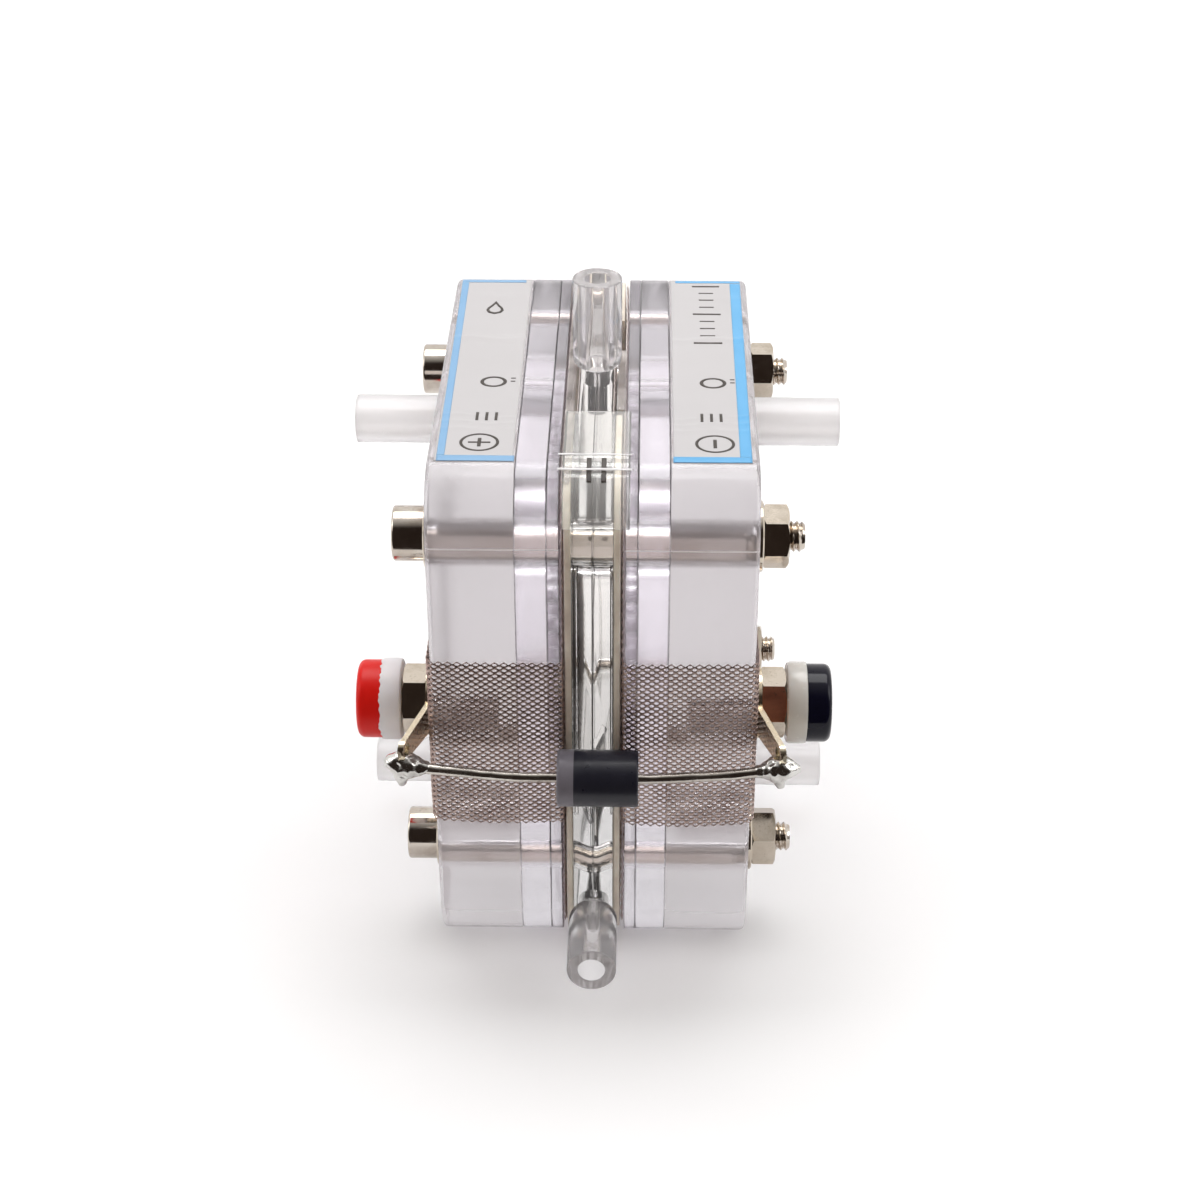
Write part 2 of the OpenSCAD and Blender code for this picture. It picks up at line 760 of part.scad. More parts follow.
module hydrogen_tube_front() {
    color([0.9, 0.9, 0.92, 0.5])
        translate([0, -half_d, mid_z - front_down]) rotate([90, 0, 0]) hydrogen_tube(front_out);
}

module oxygen_tube_upper_left() { color([0.95, 0.95, 0.95, 0.8]) on_left() oxygen_tube(mid_z + oxygen_up); }
module oxygen_tube_upper_right() { color([0.95, 0.95, 0.95, 0.8]) oxygen_tube(mid_z + oxygen_up); }
module oxygen_tube_lower_left() { color([0.95, 0.95, 0.95, 0.8]) on_left() oxygen_tube(mid_z - oxygen_down); }
module oxygen_tube_lower_right() { color([0.95, 0.95, 0.95, 0.8]) oxygen_tube(mid_z - oxygen_down); }
module tie_bolts() { color([0.78, 0.75, 0.72]) at_bolts() tie_bolt(); }
module bolt_washers() { color([0.8, 0.77, 0.74]) at_bolts() washer_pair(); }

module bolt_nuts() {
    color([0.76, 0.73, 0.69]) at_bolts() nut(face_x + washer_t, nut_af, nut_h, bolt_d + 2 * nut_play);
}

module socket_bush_left() { color([0.8, 0.76, 0.66]) on_left() socket_bush(); }
module socket_bush_right() { color([0.8, 0.76, 0.66]) socket_bush(); }
module socket_nut_left() { color([0.8, 0.76, 0.68]) on_left() socket_nut(); }
module socket_nut_right() { color([0.8, 0.76, 0.68]) socket_nut(); }
module socket_insulator_left() { color([0.93, 0.92, 0.9]) on_left() socket_insulator(); }
module socket_insulator_right() { color([0.88, 0.87, 0.8]) socket_insulator(); }
module socket_cap_left() { color([0.88, 0.16, 0.11]) on_left() socket_cap(); }
module socket_cap_right() { color([0.06, 0.06, 0.12]) socket_cap(); }
module solder_lug_left() { color([0.83, 0.76, 0.6]) on_left() solder_lug(); }
module solder_lug_right() { color([0.83, 0.76, 0.6]) solder_lug(); }

module diode_leads() {
    color([0.75, 0.74, 0.72]) {
        lead_left();
        lead_right();
    }
}

module solder_joint_left() {
    color([0.8, 0.8, 0.8])
        difference() {
            on_left() solder_form();
            on_left() solder_lug();
            lead_left();
        }
}

module solder_joint_right() {
    color([0.8, 0.8, 0.8])
        difference() {
            solder_form();
            solder_lug();
            lead_right();
        }
}

module label_left() { color([0.88, 0.88, 0.9]) on_left() label(); }
module label_right() { color([0.88, 0.88, 0.9]) label(); }

module centre_tape() {
    color([0.85, 0.84, 0.78])
        label_film(tape_x - tape_w / 2, tape_x + tape_w / 2, -plate_d, -tape_rear, plate_h - tape_drop);
}

end_plate_left();
end_plate_right();
chamber_plate_left();
chamber_plate_right();
support_plate_left();
support_plate_right();
collector_mesh_left();
collector_mesh_right();
gasket_left();
gasket_right();
diffusion_felt_left();
diffusion_felt_right();
outer_catalyst_left();
outer_catalyst_right();
membrane_left();
membrane_right();
inner_catalyst_left();
inner_catalyst_right();
inner_mesh_left();
inner_mesh_right();
hydrogen_frame_left();
hydrogen_frame_right();
hydrogen_tube_top();
hydrogen_tube_front();
oxygen_tube_upper_left();
oxygen_tube_upper_right();
oxygen_tube_lower_left();
oxygen_tube_lower_right();
tie_bolts();
bolt_washers();
bolt_nuts();
socket_bush_left();
socket_bush_right();
socket_nut_left();
socket_nut_right();
socket_insulator_left();
socket_insulator_right();
socket_cap_left();
socket_cap_right();
solder_lug_left();
solder_lug_right();
diode_body();
diode_leads();
solder_joint_left();
solder_joint_right();
label_left();
label_right();
centre_tape();
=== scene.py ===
import bpy
import bmesh
from math import copysign, cos, dist, exp, hypot, pi, radians, sin, sqrt, tan
from mathutils import Matrix, Vector, noise


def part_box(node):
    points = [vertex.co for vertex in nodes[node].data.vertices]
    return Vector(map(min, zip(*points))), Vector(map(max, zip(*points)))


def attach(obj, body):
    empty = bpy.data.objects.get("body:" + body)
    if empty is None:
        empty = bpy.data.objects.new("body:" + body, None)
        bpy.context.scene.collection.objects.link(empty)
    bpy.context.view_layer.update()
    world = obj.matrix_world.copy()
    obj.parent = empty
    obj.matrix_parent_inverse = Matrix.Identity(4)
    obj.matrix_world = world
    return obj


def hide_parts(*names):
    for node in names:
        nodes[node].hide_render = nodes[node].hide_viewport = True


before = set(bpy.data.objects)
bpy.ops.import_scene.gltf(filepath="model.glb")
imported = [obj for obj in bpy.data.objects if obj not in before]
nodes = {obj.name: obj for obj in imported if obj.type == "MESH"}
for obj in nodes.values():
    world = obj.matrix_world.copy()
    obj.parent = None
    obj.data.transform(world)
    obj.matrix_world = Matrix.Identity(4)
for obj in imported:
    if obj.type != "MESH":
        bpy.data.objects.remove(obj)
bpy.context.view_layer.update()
mm = 0.001
leftRight = (("left", -1), ("right", 1))
print("frame loaded,", len(nodes), "nodes")


# A coordinate of a CAD node's box in millimetres: axis 0 to 2, end 0 for the low and 1 for the high side
def reachOf(node, axis, end=1):
    return round(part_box(node)[end][axis] / mm, 2)


# Sizes shared by several pieces, in millimetres
stack = {
    "plateDepth": 2 * reachOf("end_plate_right", 1),
    "plateHeight": reachOf("end_plate_right", 2),
    # outer face of each layer, from the middle of the stack
    "frameX": reachOf("hydrogen_frame_right", 0),
    "gasketX": reachOf("gasket_right", 0),
    "collectorX": reachOf("support_plate_right", 0, 0),
    "supportX": reachOf("support_plate_right", 0),
    "chamberX": reachOf("chamber_plate_right", 0),
    "endX": reachOf("end_plate_right", 0),
    "airGap": 0.015,         # between clear plates that touch
    "cornerRadius": 8.5,
    "windowWidth": 36,
    "windowRadius": 4,
    "boltSpacing": 46.9,
    "boltRadius": 2,
    "boltHoleRadius": 2.15,
    "boltHoleEdge": 0.12,
    "socketY": -24,
    "socketZ": 34.5,
    "oxygenHeights": (63.2, 7.7),
}
plateHeight, cornerRadius, boltRadius = stack["plateHeight"], stack["cornerRadius"], stack["boltRadius"]
windowWidth, windowRadius = stack["windowWidth"], stack["windowRadius"]
airGap, endX = stack["airGap"], stack["endX"]
midZ = plateHeight / 2
halfDepth = stack["plateDepth"] / 2
seamZ = plateHeight - cornerRadius


# Camera: the photograph's angle, worked out from the plates' corners
view = {
    "place": (0.005932, -0.277245, 0.205511),
    "down": 31.571,
    "turn": 0.996,
    "roll": 0.524,
    "lens": 70.142,
    "sensor": 36,
    "clip": (0.01, 20),
}


def addObject(name, data):
    obj = bpy.data.objects.new(name, data)
    bpy.context.scene.collection.objects.link(obj)
    return obj


def addCamera():
    cam = bpy.data.cameras.new("camera")
    cam.lens = view["lens"]
    cam.sensor_width = view["sensor"]
    cam.clip_start, cam.clip_end = view["clip"]
    obj = addObject("camera", cam)
    tilt = Matrix.Rotation(radians(90 - view["down"]), 4, "X")
    turn = Matrix.Rotation(radians(view["turn"]), 4, "Y")
    roll = Matrix.Rotation(radians(view["roll"]), 4, "Z")
    obj.matrix_world = Matrix.Translation(view["place"]) @ tilt @ turn @ roll
    bpy.context.scene.camera = obj


addCamera()


# Node helpers
def fill(tree, node, inputs):
    # the output of another node is linked, a plain value is set
    for key, value in inputs.items():
        socket = node.inputs[key]
        if hasattr(value, "is_output"):
            tree.links.new(value, socket)
        else:
            socket.default_value = (*value, 1) if socket.type == "RGBA" else value


def addNode(tree, kind, inputs=None, **settings):
    node = tree.nodes.new("ShaderNode" + kind)
    for key, value in settings.items():
        setattr(node, key, value)
    fill(tree, node, inputs or {})
    return node


def placeOf(tree, stretch=(1, 1, 1)):
    coords = addNode(tree, "TexCoord")
    return addNode(tree, "Mapping", {"Vector": coords.outputs["Object"], "Scale": stretch}).outputs["Vector"]


def noiseOf(tree, scale, detail, rough=0.55, stretch=(1, 1, 1)):
    return addNode(tree, "TexNoise", {"Vector": placeOf(tree, stretch), "Scale": scale, "Detail": detail,
        "Roughness": rough}).outputs["Fac"]


def span(tree, fac, low, high, fromLow=0.3, fromHigh=0.7):
    return addNode(tree, "MapRange", {"Value": fac, "From Min": fromLow, "From Max": fromHigh,
        "To Min": low, "To Max": high}).outputs["Result"]


def mixColour(tree, fac, a, b):
    # the colour inputs of the mix node are its seventh and eighth
    return addNode(tree, "Mix", {0: fac, 6: a, 7: b}, data_type="RGBA").outputs[2]


def bumpOf(tree, shader, height, strength, distance, before=None):
    inputs = {"Height": height, "Strength": strength, "Distance": distance * mm}
    if before is not None:
        inputs["Normal"] = before
    normal = addNode(tree, "Bump", inputs).outputs["Normal"]
    fill(tree, shader, {"Normal": normal})
    return normal


def combine(tree, operation, *values):
    result = values[0]
    for value in values[1:]:
        result = addNode(tree, "Math", {0: result, 1: value}, operation=operation).outputs[0]
    return result


# Materials
finishes = {}
grains = {
    # scale of each noise, per metre
    "cloud": 90, "rub": 220, "waves": 60, "scratches": 900,
    "patches": 260, "spots": 2600, "metalFine": 700,
    "tones": 180, "plasticFine": 1100, "paper": 40,
    "spotColour": (0.12, 0.09, 0.07),
    "cloudShade": 0.975,     # how dark the clouds in a clear plastic are
    "shadowPass": 0.97,      # how much lamp light goes through it
}


def startFinish(name):
    finishes[name] = bpy.data.materials.new(name)
    finishes[name].use_nodes = True
    tree = finishes[name].node_tree
    return tree, tree.nodes["Principled BSDF"]


def clearPlastic(name, tint, haze, milk, wave=0.03, scratch=0.001, bend=1.49):
    # haze: lowest and highest roughness; milk: share of diffuse light; wave, scratch: heights in mm
    tree, shader = startFinish(name)
    cloud = span(tree, noiseOf(tree, grains["cloud"], 4, 0.6), 0, 1)
    rub = noiseOf(tree, grains["rub"], 5, 0.65, (1, 0.25, 0.25))
    fill(tree, shader, {
        "IOR": bend,
        "Transmission Weight": 1 - milk,
        "Base Color": mixColour(tree, cloud, tint, tuple(c * grains["cloudShade"] for c in tint)),
        "Roughness": span(tree, rub, *haze),
    })
    waves = bumpOf(tree, shader, noiseOf(tree, grains["waves"], 2, 0.4), 0.5, wave)
    bumpOf(tree, shader, noiseOf(tree, grains["scratches"], 3, 0.6, (0.15, 1, 1)), 0.4, scratch, waves)
    # lamps shine into the plastic, so what lies inside and below it is lit
    path = addNode(tree, "LightPath")
    clear = addNode(tree, "BsdfTransparent", {"Color": tuple(grains["shadowPass"] * c for c in tint)})
    both = addNode(tree, "MixShader", {0: path.outputs["Is Shadow Ray"], 1: shader.outputs[0],
        2: clear.outputs[0]})
    fill(tree, tree.nodes["Material Output"], {"Surface": both.outputs[0]})


def metal(name, colour, dull, roughness, bump, spotted=0.0, stretch=(1, 1, 1)):
    # dull: colour of its duller patches; bump: height in mm; spotted: how clear the dark specks are
    tree, shader = startFinish(name)
    patches = noiseOf(tree, grains["patches"], 5, 0.6, stretch)
    base = mixColour(tree, span(tree, patches, 0, 1, 0.42, 0.72), colour, dull)
    if spotted:
        spots = span(tree, noiseOf(tree, grains["spots"], 3, 0.5), 0, spotted, 0.62, 0.72)
        base = mixColour(tree, spots, base, grains["spotColour"])
    fine = noiseOf(tree, grains["metalFine"], 4, 0.6, stretch)
    fill(tree, shader, {"Metallic": 1, "Base Color": base, "Roughness": span(tree, fine, *roughness)})
    bumpOf(tree, shader, fine, 0.5, bump)


def plastic(name, colour, shade, roughness, bump, scatter=0.0, coat=0.0, shine=0.5):
    # shade: colour of its darker or lighter clouds; bump: height in mm
    tree, shader = startFinish(name)
    cloud = span(tree, noiseOf(tree, grains["tones"], 4, 0.6), 0, 1)
    fine = noiseOf(tree, grains["plasticFine"], 4, 0.6)
    fill(tree, shader, {
        "Base Color": mixColour(tree, cloud, colour, shade),
        "Roughness": span(tree, fine, *roughness),
        "Subsurface Weight": scatter,
        "Subsurface Radius": (1, 0.8, 0.7),
        "Subsurface Scale": 0.8 * mm,
        "Coat Weight": coat,
        "Coat Roughness": 0.05,
        "Specular IOR Level": shine,
    })
    bumpOf(tree, shader, fine, 0.5, bump)


def makeFinishes():
    # name, tint, haze, milk, wave, scratch, bend
    clearPlastic("endAcrylic", (0.885, 0.855, 0.87), (0.09, 0.20), 0.28)
    clearPlastic("broadAcrylic", (0.95, 0.93, 0.945), (0.02, 0.06), 0.10)
    clearPlastic("innerAcrylic", (0.95, 0.92, 0.955), (0.12, 0.24), 0.06)
    clearPlastic("innerBroad", (0.99, 0.965, 0.995), (0.02, 0.06), 0.03)
    # white painted highlight for the plates' seam ridge and the tape's fold lines
    clearPlastic("rubbedAcrylic", (1.0, 0.99, 1.0), (0.3, 0.5), 0.95, 0.03, 0.004)
    clearPlastic("frameAcrylic", (0.995, 0.98, 0.96), (0.02, 0.06), 0.04, 0.05, 0.001)
    clearPlastic("tubeClear", (1.0, 0.99, 0.988), (0.0, 0.03), 0.13, 0.02, 0.001, 1.42)
    clearPlastic("tubeCut", (0.96, 0.93, 0.93), (0.08, 0.20), 0.26, 0.05, 0.004, 1.42)
    clearPlastic("tubeMilky", (0.99, 0.98, 0.975), (0.27, 0.37), 0.24, 0.012, 0.002)
    clearPlastic("membraneFilm", (0.80, 0.62, 0.36), (0.2, 0.35), 0.2, 0.03, 0.002)
    clearPlastic("tapeFilm", (0.965, 0.965, 0.945), (0.04, 0.10), 0.08, 0.05, 0.001)
    # name, colour, dull, roughness, bump, spotted, stretch
    metal("collectorSteel", (0.60, 0.465, 0.415), (0.31, 0.205, 0.175), (0.26, 0.46), 0.004)
    metal("foldSteel", (0.66, 0.62, 0.60), (0.16, 0.13, 0.12), (0.25, 0.5), 0.02)
    metal("sheetSteel", (0.80, 0.74, 0.71), (0.58, 0.50, 0.47), (0.34, 0.55), 0.004)
    metal("bushMetal", (0.92, 0.89, 0.86), (0.84, 0.80, 0.76), (0.45, 0.65), 0.003)
    # painted copper-red reflection for facets of the right socket nut
    metal("copperShow", (0.80, 0.34, 0.22), (0.52, 0.19, 0.12), (0.34, 0.50), 0.004, 0.3, (0.25, 1, 1))
    metal("nickel", (0.76, 0.68, 0.58), (0.58, 0.50, 0.40), (0.06, 0.16), 0.003, 0.35)
    metal("boltSteel", (0.70, 0.64, 0.57), (0.50, 0.42, 0.35), (0.08, 0.18), 0.003, 0.3)
    metal("lugBrass", (0.86, 0.76, 0.58), (0.70, 0.58, 0.42), (0.15, 0.32), 0.004, 0.3)
    metal("tin", (0.80, 0.79, 0.76), (0.55, 0.53, 0.50), (0.08, 0.26), 0.01, 0.4)
    metal("leadTin", (0.76, 0.72, 0.66), (0.42, 0.37, 0.33), (0.12, 0.30), 0.01, 0.6, (0.3, 1, 1))
    # name, colour, shade, roughness, bump, scatter, coat
    plastic("whitePlastic", (0.95, 0.92, 0.93), (0.90, 0.86, 0.87), (0.35, 0.55), 0.01, 0.3)
    plastic("creamPlastic", (0.76, 0.74, 0.69), (0.71, 0.69, 0.63), (0.16, 0.30), 0.004, 0.3, 0.3)
    plastic("redPlastic", (0.88, 0.008, 0.003), (0.80, 0.006, 0.002), (0.30, 0.42), 0.004, 0.1, shine=0.25)
    plastic("blackPlastic", (0.004, 0.004, 0.014), (0.006, 0.006, 0.016), (0.08, 0.14), 0.001, shine=0.25)
    plastic("diodeEpoxy", (0.014, 0.015, 0.026), (0.02, 0.02, 0.032), (0.26, 0.4), 0.006)
    plastic("diodeBand", (0.22, 0.21, 0.24), (0.17, 0.16, 0.19), (0.3, 0.45), 0.004)
    plastic("gasketRubber", (0.94, 0.89, 0.77), (0.66, 0.58, 0.49), (0.25, 0.5), 0.03, 0.3)
    plastic("labelFilm", (0.60, 0.585, 0.59), (0.59, 0.575, 0.58), (0.30, 0.34), 0.0005)
    plastic("labelBlueLeft", (0.22, 0.44, 0.70), (0.25, 0.47, 0.72), (0.3, 0.36), 0.001)
    plastic("labelBlueRight", (0.12, 0.44, 0.78), (0.15, 0.48, 0.82), (0.3, 0.36), 0.001)
    plastic("labelBlack", (0.035, 0.025, 0.02), (0.05, 0.04, 0.03), (0.3, 0.45), 0.004)
    plastic("feltGrey", (0.18, 0.18, 0.19), (0.12, 0.12, 0.13), (0.6, 0.8), 0.06)
    plastic("catalystBlack", (0.02, 0.02, 0.02), (0.03, 0.03, 0.03), (0.7, 0.9), 0.03)
    print("materials made:", len(finishes))


makeFinishes()


# Mesh helpers: lengths are given in millimetres
def addPiece(node, mesh, finish, slot, replaced=None):
    # a piece is called after the CAD node that it replaces; a name that no node has replaces nothing
    first, *others = node.split("_")
    mesh.name = first + "".join(word.title() for word in others)
    for key in [finish] if isinstance(finish, str) else finish:
        mesh.materials.append(finishes[key])
    obj = addObject(mesh.name, mesh)
    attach(obj, "root")
    if (replaced or node) in nodes:
        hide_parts(replaced or node)
    return obj


def finishPiece(node, bm, finish, slot, sharp=30):
    # sharp: edges that turn by more than this many degrees stay crisp
    bmesh.ops.recalc_face_normals(bm, faces=bm.faces)
    mesh = bpy.data.meshes.new(node)
    bm.to_mesh(mesh)
    bm.free()
    mesh.transform(Matrix.Diagonal((mm, mm, mm, 1)))
    mesh.set_sharp_from_angle(angle=radians(sharp))
    return addPiece(node, mesh, finish, slot)


def modify(obj, kind, **settings):
    modifier = obj.modifiers.new(kind.lower(), kind)
    for key, value in settings.items():
        setattr(modifier, key, value)


def ripple(x, y, z):
    return noise.noise(Vector((x, y, z)))


def bridge(bm, rows, closed=True, index=0):
    for a, b in zip(rows, rows[1:]):
        count = len(a)
        for i in range(count if closed else count - 1):
            j = (i + 1) % count
            face = bm.faces.new((a[i], a[j], b[j], b[i]))
            face.smooth = True
            face.material_index = index


def circle(steps):
    return [2 * pi * i / steps for i in range(steps)]


def quarter(steps):
    return [pi / 2 * i / steps for i in range(steps + 1)]


def circleRing(centre, radius, steps=48):
    return [(centre[0] + radius * cos(a), centre[1] + radius * sin(a)) for a in circle(steps)]


def roundedRing(width, height, radius, grow, steps=24):
    # a rounded rectangle round the middle of the plates, as (y, z)
    ring = []
    for sy, sz, start in ((1, 1, 0), (-1, 1, 90), (-1, -1, 180), (1, -1, 270)):
        for i in range(steps + 1):
            a = radians(start + 90 * i / steps)
            ring.append((sy * (width / 2 - radius) + (radius + grow) * cos(a),
                midZ + sz * (height / 2 - radius) + (radius + grow) * sin(a)))
    return ring


def onTop(u, height):
    # u runs along the top edge from front (negative y) to rear, over the rounded corners
    r = cornerRadius
    flat = halfDepth - r
    if abs(u) <= flat:
        return u, plateHeight + height
    a = (abs(u) - flat) / r
    return copysign(flat + (r + height) * sin(a), u), seamZ + (r + height) * cos(a)


# x and growth of an outline whose two edges are rounded, with the radii low and high
def edgeLevels(x0, x1, low, high, steps=4):
    levels = [(x0 + low * (1 - cos(a)), -low * (1 - sin(a))) for a in quarter(steps)]
    return levels + [(x1 - high * (1 - sin(a)), -high * (1 - cos(a))) for a in quarter(steps)]


def holeRows(shape, x0, x1, edge):
    return [(x, shape(-grow)) for x, grow in edgeLevels(x0, x1, edge, edge, 2)]


def boltPlaces():
    half = stack["boltSpacing"] / 2
    return [(sy * half, midZ + sz * half) for sy in (-1, 1) for sz in (-1, 1)]


def boltHoleRows(x0, x1, radius):
    return [holeRows(lambda grow, c=c: circleRing(c, radius + grow), x0, x1, stack["boltHoleEdge"])
        for c in boltPlaces()]


# Clear plates
plates = {
    # radius of the inner and the outer edge, finish of the edge and of the broad faces, slot
    "end": (0.2, 0.8, "endAcrylic", "broadAcrylic", "end_plate_acrylic"),
    "chamber": (0.2, 0.2, "innerAcrylic", "innerBroad", "chamber_acrylic"),
    "support": (0.14, 0.14, "innerAcrylic", "innerBroad", "chamber_acrylic"),
    # the fine ridge where the sawn edge meets the rounded corner; the ridge is real, its white finish is a
    # painted highlight
    "seamRise": 0.12,
    "seamOut": 0.1,
    "seamDrop": 0.03,
    "seamBand": 0.13,
    "portRadius": 1.75,
    "seatRadius": 3.05,
    "seatDepth": 8.05,
    "seatEdge": 0.1,
    "windowEdge": 0.15,
    "vents": 7,
    "ventShare": 0.62,
    "ventEdge": 0.08,
    "weld": 0.002,           # points of the CAD frame closer than this are joined
    "frameEdge": 0.15,
}


def plateRing(grow):
    ring = roundedRing(2 * halfDepth, plateHeight, cornerRadius, grow)
    at = next(i for i, (y, z) in enumerate(ring) if y < 0 and abs(z - seamZ) < 0.001)
    y = ring[at][0]
    ring[at:at + 1] = [(y, seamZ + plates["seamRise"]), (y - plates["seamOut"], seamZ),
        (y, seamZ - plates["seamDrop"])]
    return ring


# A plate along X from outline rows, through holes and blind holes, each a list of (x, ring)
def plateMesh(side, outer, holes, blinds=(), broad=0):
    bm = bmesh.new()
    lowRings, highRings = [], []
    for group in ([outer], holes, blinds):
        for rows in group:
            made = [[bm.verts.new((side * x, y, z)) for y, z in ring] for x, ring in rows]
            bridge(bm, made, index=0 if rows is outer else broad)
            highRings.append(made[-1])
            if group is blinds:
                bm.faces.new(made[0]).material_index = broad
            else:
                lowRings.append(made[0])
    for rings in (lowRings, highRings):
        edges = [bm.edges.get((ring[i - 1], ring[i])) for ring in rings for i in range(len(ring))]
        filled = bmesh.ops.triangle_fill(bm, use_beauty=True, use_dissolve=False, edges=edges,
            normal=(1, 0, 0))
        for item in filled["geom"]:
            if isinstance(item, bmesh.types.BMFace):
                item.smooth = False
                item.material_index = broad
    # on a plate, the faces of the seam ridge take slot 1, its white painted highlight
    for face in bm.faces:
        centre = face.calc_center_median()
        if abs(centre.z - seamZ) < plates["seamBand"] and centre.y < 0.02 - halfDepth:
            face.material_index = 1
    return bm


def makePlate(kind, name, side, x0, x1, holes, blinds=()):
    low, high, edgeFinish, broadFinish, slot = plates[kind]
    outer = [(x, plateRing(grow)) for x, grow in edgeLevels(x0, x1, low, high)]
    bm = plateMesh(side, outer, boltHoleRows(x0, x1, stack["boltHoleRadius"]) + holes, blinds, 2)
    finishPiece(kind + "_plate_" + name, bm, [edgeFinish, "rubbedAcrylic", broadFinish], slot, 20)


def makeEndPlate(name, side):
    x0, x1 = stack["chamberX"] + airGap, endX
    step = x1 - plates["seatDepth"]
    port, seat, edge = plates["portRadius"], plates["seatRadius"], plates["seatEdge"]
    through = ((x0, port + edge), (x0 + edge, port), (step, port))
    counterbore = ((step, seat), (x1 - edge, seat), (x1, seat + edge))
    holes = [[(x, circleRing((0, z), r)) for x, r in through + counterbore] for z in stack["oxygenHeights"]]
    blind = [(x, circleRing((stack["socketY"], stack["socketZ"]), r)) for x, r in counterbore]
    makePlate("end", name, side, x0, x1, holes, [blind])


# The chamber window and its slots to the two oxygen ports
def windowRing(grow):
    width, slot = windowWidth, plates["portRadius"] + grow
    ring = roundedRing(width, width, windowRadius, grow, steps=10)
    upper, lower = stack["oxygenHeights"]
    for at, start, end, sy in ((33, 180, lower, -1), (11, 0, upper, 1)):
        flank = ring[at - 1][1]
        turns = [radians(start + 180 * i / 12) for i in range(13)]
        arc = [(slot * cos(a), end + slot * sin(a)) for a in turns]
        ring[at:at] = [(sy * slot, flank), *arc, (-sy * slot, flank)]
    return ring


def makeChamberPlate(name, side):
    x0, x1 = stack["supportX"] + airGap, stack["chamberX"] - airGap
    makePlate("chamber", name, side, x0, x1, [holeRows(windowRing, x0, x1, plates["windowEdge"])])


def makeSupportPlate(name, side):
    x0, x1 = stack["collectorX"], stack["supportX"] - airGap
    pitch = windowWidth / (plates["vents"] + 1)
    radius = plates["ventShare"] * pitch / 2
    places = [i * pitch - windowWidth / 2 for i in range(1, plates["vents"] + 1)]
    holes = [holeRows(lambda grow, c=(y, midZ + z): circleRing(c, radius + grow, 20), x0, x1,
        plates["ventEdge"]) for y in places for z in places]
    makePlate("support", name, side, x0, x1, holes)


# The hydrogen frame keeps the bores, channels and recess of its CAD solid and gets broken edges
def makeFrameHalf(name, side):
    bm = bmesh.new()
    bm.from_mesh(nodes["hydrogen_frame_" + name].data)
    bmesh.ops.remove_doubles(bm, verts=bm.verts, dist=plates["weld"] * mm)
    bmesh.ops.dissolve_limit(bm, angle_limit=radians(1), verts=bm.verts, edges=bm.edges)
    bm.transform(Matrix.Diagonal((1 / mm, 1 / mm, 1 / mm, 1)))
    for v in bm.verts:
        if abs(v.co.x) < 0.001:
            v.co.x += side * airGap
        elif abs(abs(v.co.x) - stack["frameX"]) < 0.001:
            v.co.x -= side * airGap
    for face in bm.faces:
        face.smooth = True
    obj = finishPiece("hydrogen_frame_" + name, bm, "frameAcrylic", "frame_acrylic")
    modify(obj, "BEVEL", width=plates["frameEdge"] * mm, segments=2, limit_method="ANGLE",
        angle_limit=radians(40), harden_normals=False)


for name, side in leftRight:
    makeEndPlate(name, side)
    makeChamberPlate(name, side)
    makeSupportPlate(name, side)
    makeFrameHalf(name, side)
print("plates made")


# Turned pieces

# A place turns (along, across, up) into a point; this one is on a line along X, turned by spin
def onAxis(side, y, z, spin=0.0):
    c, s = cos(spin), sin(spin)
    return lambda a, p, q: (side * a, y + p * c - q * s, z + p * s + q * c)


# Rows hold (along, radius), each a number or a function of the angle
def turned(bm, rows, place, steps, closed=False, index=0):
    made = []
    for along, radius in rows:
        ring = []
        for angle in circle(steps):
            a = along(angle) if callable(along) else along
            r = radius(angle) if callable(radius) else radius
            ring.append(bm.verts.new(place(a, r * cos(angle), r * sin(angle))))
        made.append(ring)
    if closed:
        made.append(made[0])
    bridge(bm, made, index=index)


def roundedCorner(a0, r0, a1, r1, steps=5, bulge=1):
    # quarter turn from (a0, r0) to (a1, r1) that leaves along the axis, or across it with bulge -1
    points = []
    for t in quarter(steps):
        first, last = sin(t), 1 - cos(t)
        if bulge < 0:
            first, last = last, first
        points.append((a0 + (a1 - a0) * first, r0 + (r1 - r0) * last))
    return points


tubes = {
    "radius": 3.2,
    "bore": 1.75,
    "rim": 0.22,
    "spigotRadius": 1.95,
    "spigotLength": 6,
    "channel": 1.3,
    "neck": 0.3,
    "shoulder": 1.2,
    "topOut": 12.3,
    "frontOut": 11.4,
    "frontZ": 6.8,
    "oxygenOut": 11.6,
    "oxygenSeat": 8,
    "oxygenSeatRadius": 3,
    "oxygenGap": 0.02,       # between the end plate and the tube's shoulder
    "oxygenEdge": 0.1,
}


def tubeTip(tip, steps):
    radius, bore, rim = tubes["radius"], tubes["bore"], tubes["rim"]
    return (roundedCorner(tip - rim, radius, tip, radius - rim, steps)
        + roundedCorner(tip, bore + rim, tip - rim, bore, steps, -1))


def makeHydrogenTube(where, out, place):
    t = tubes
    spigot = t["spigotRadius"]
    rows = [(-t["spigotLength"], t["channel"]), (-t["spigotLength"], spigot), (0, spigot)]
    rows += roundedCorner(0, spigot + t["neck"], t["shoulder"], t["radius"], 8, -1) + tubeTip(out, 5)
    rows += [(t["shoulder"], t["bore"]), (0, t["channel"])]
    bm = bmesh.new()
    turned(bm, rows, place, 96, True)
    bm.normal_update()
    root = Vector(place(0, 0, 0))
    axis = Vector(place(1, 0, 0)) - root
    for face in bm.faces:
        if face.normal.dot(axis) > 0.8 and (face.calc_center_median() - root).dot(axis) > out / 2:
            face.material_index = 1
    finishPiece("hydrogen_tube_" + where, bm, ["tubeClear", "tubeCut"], "hydrogen_tube_clear", 25)


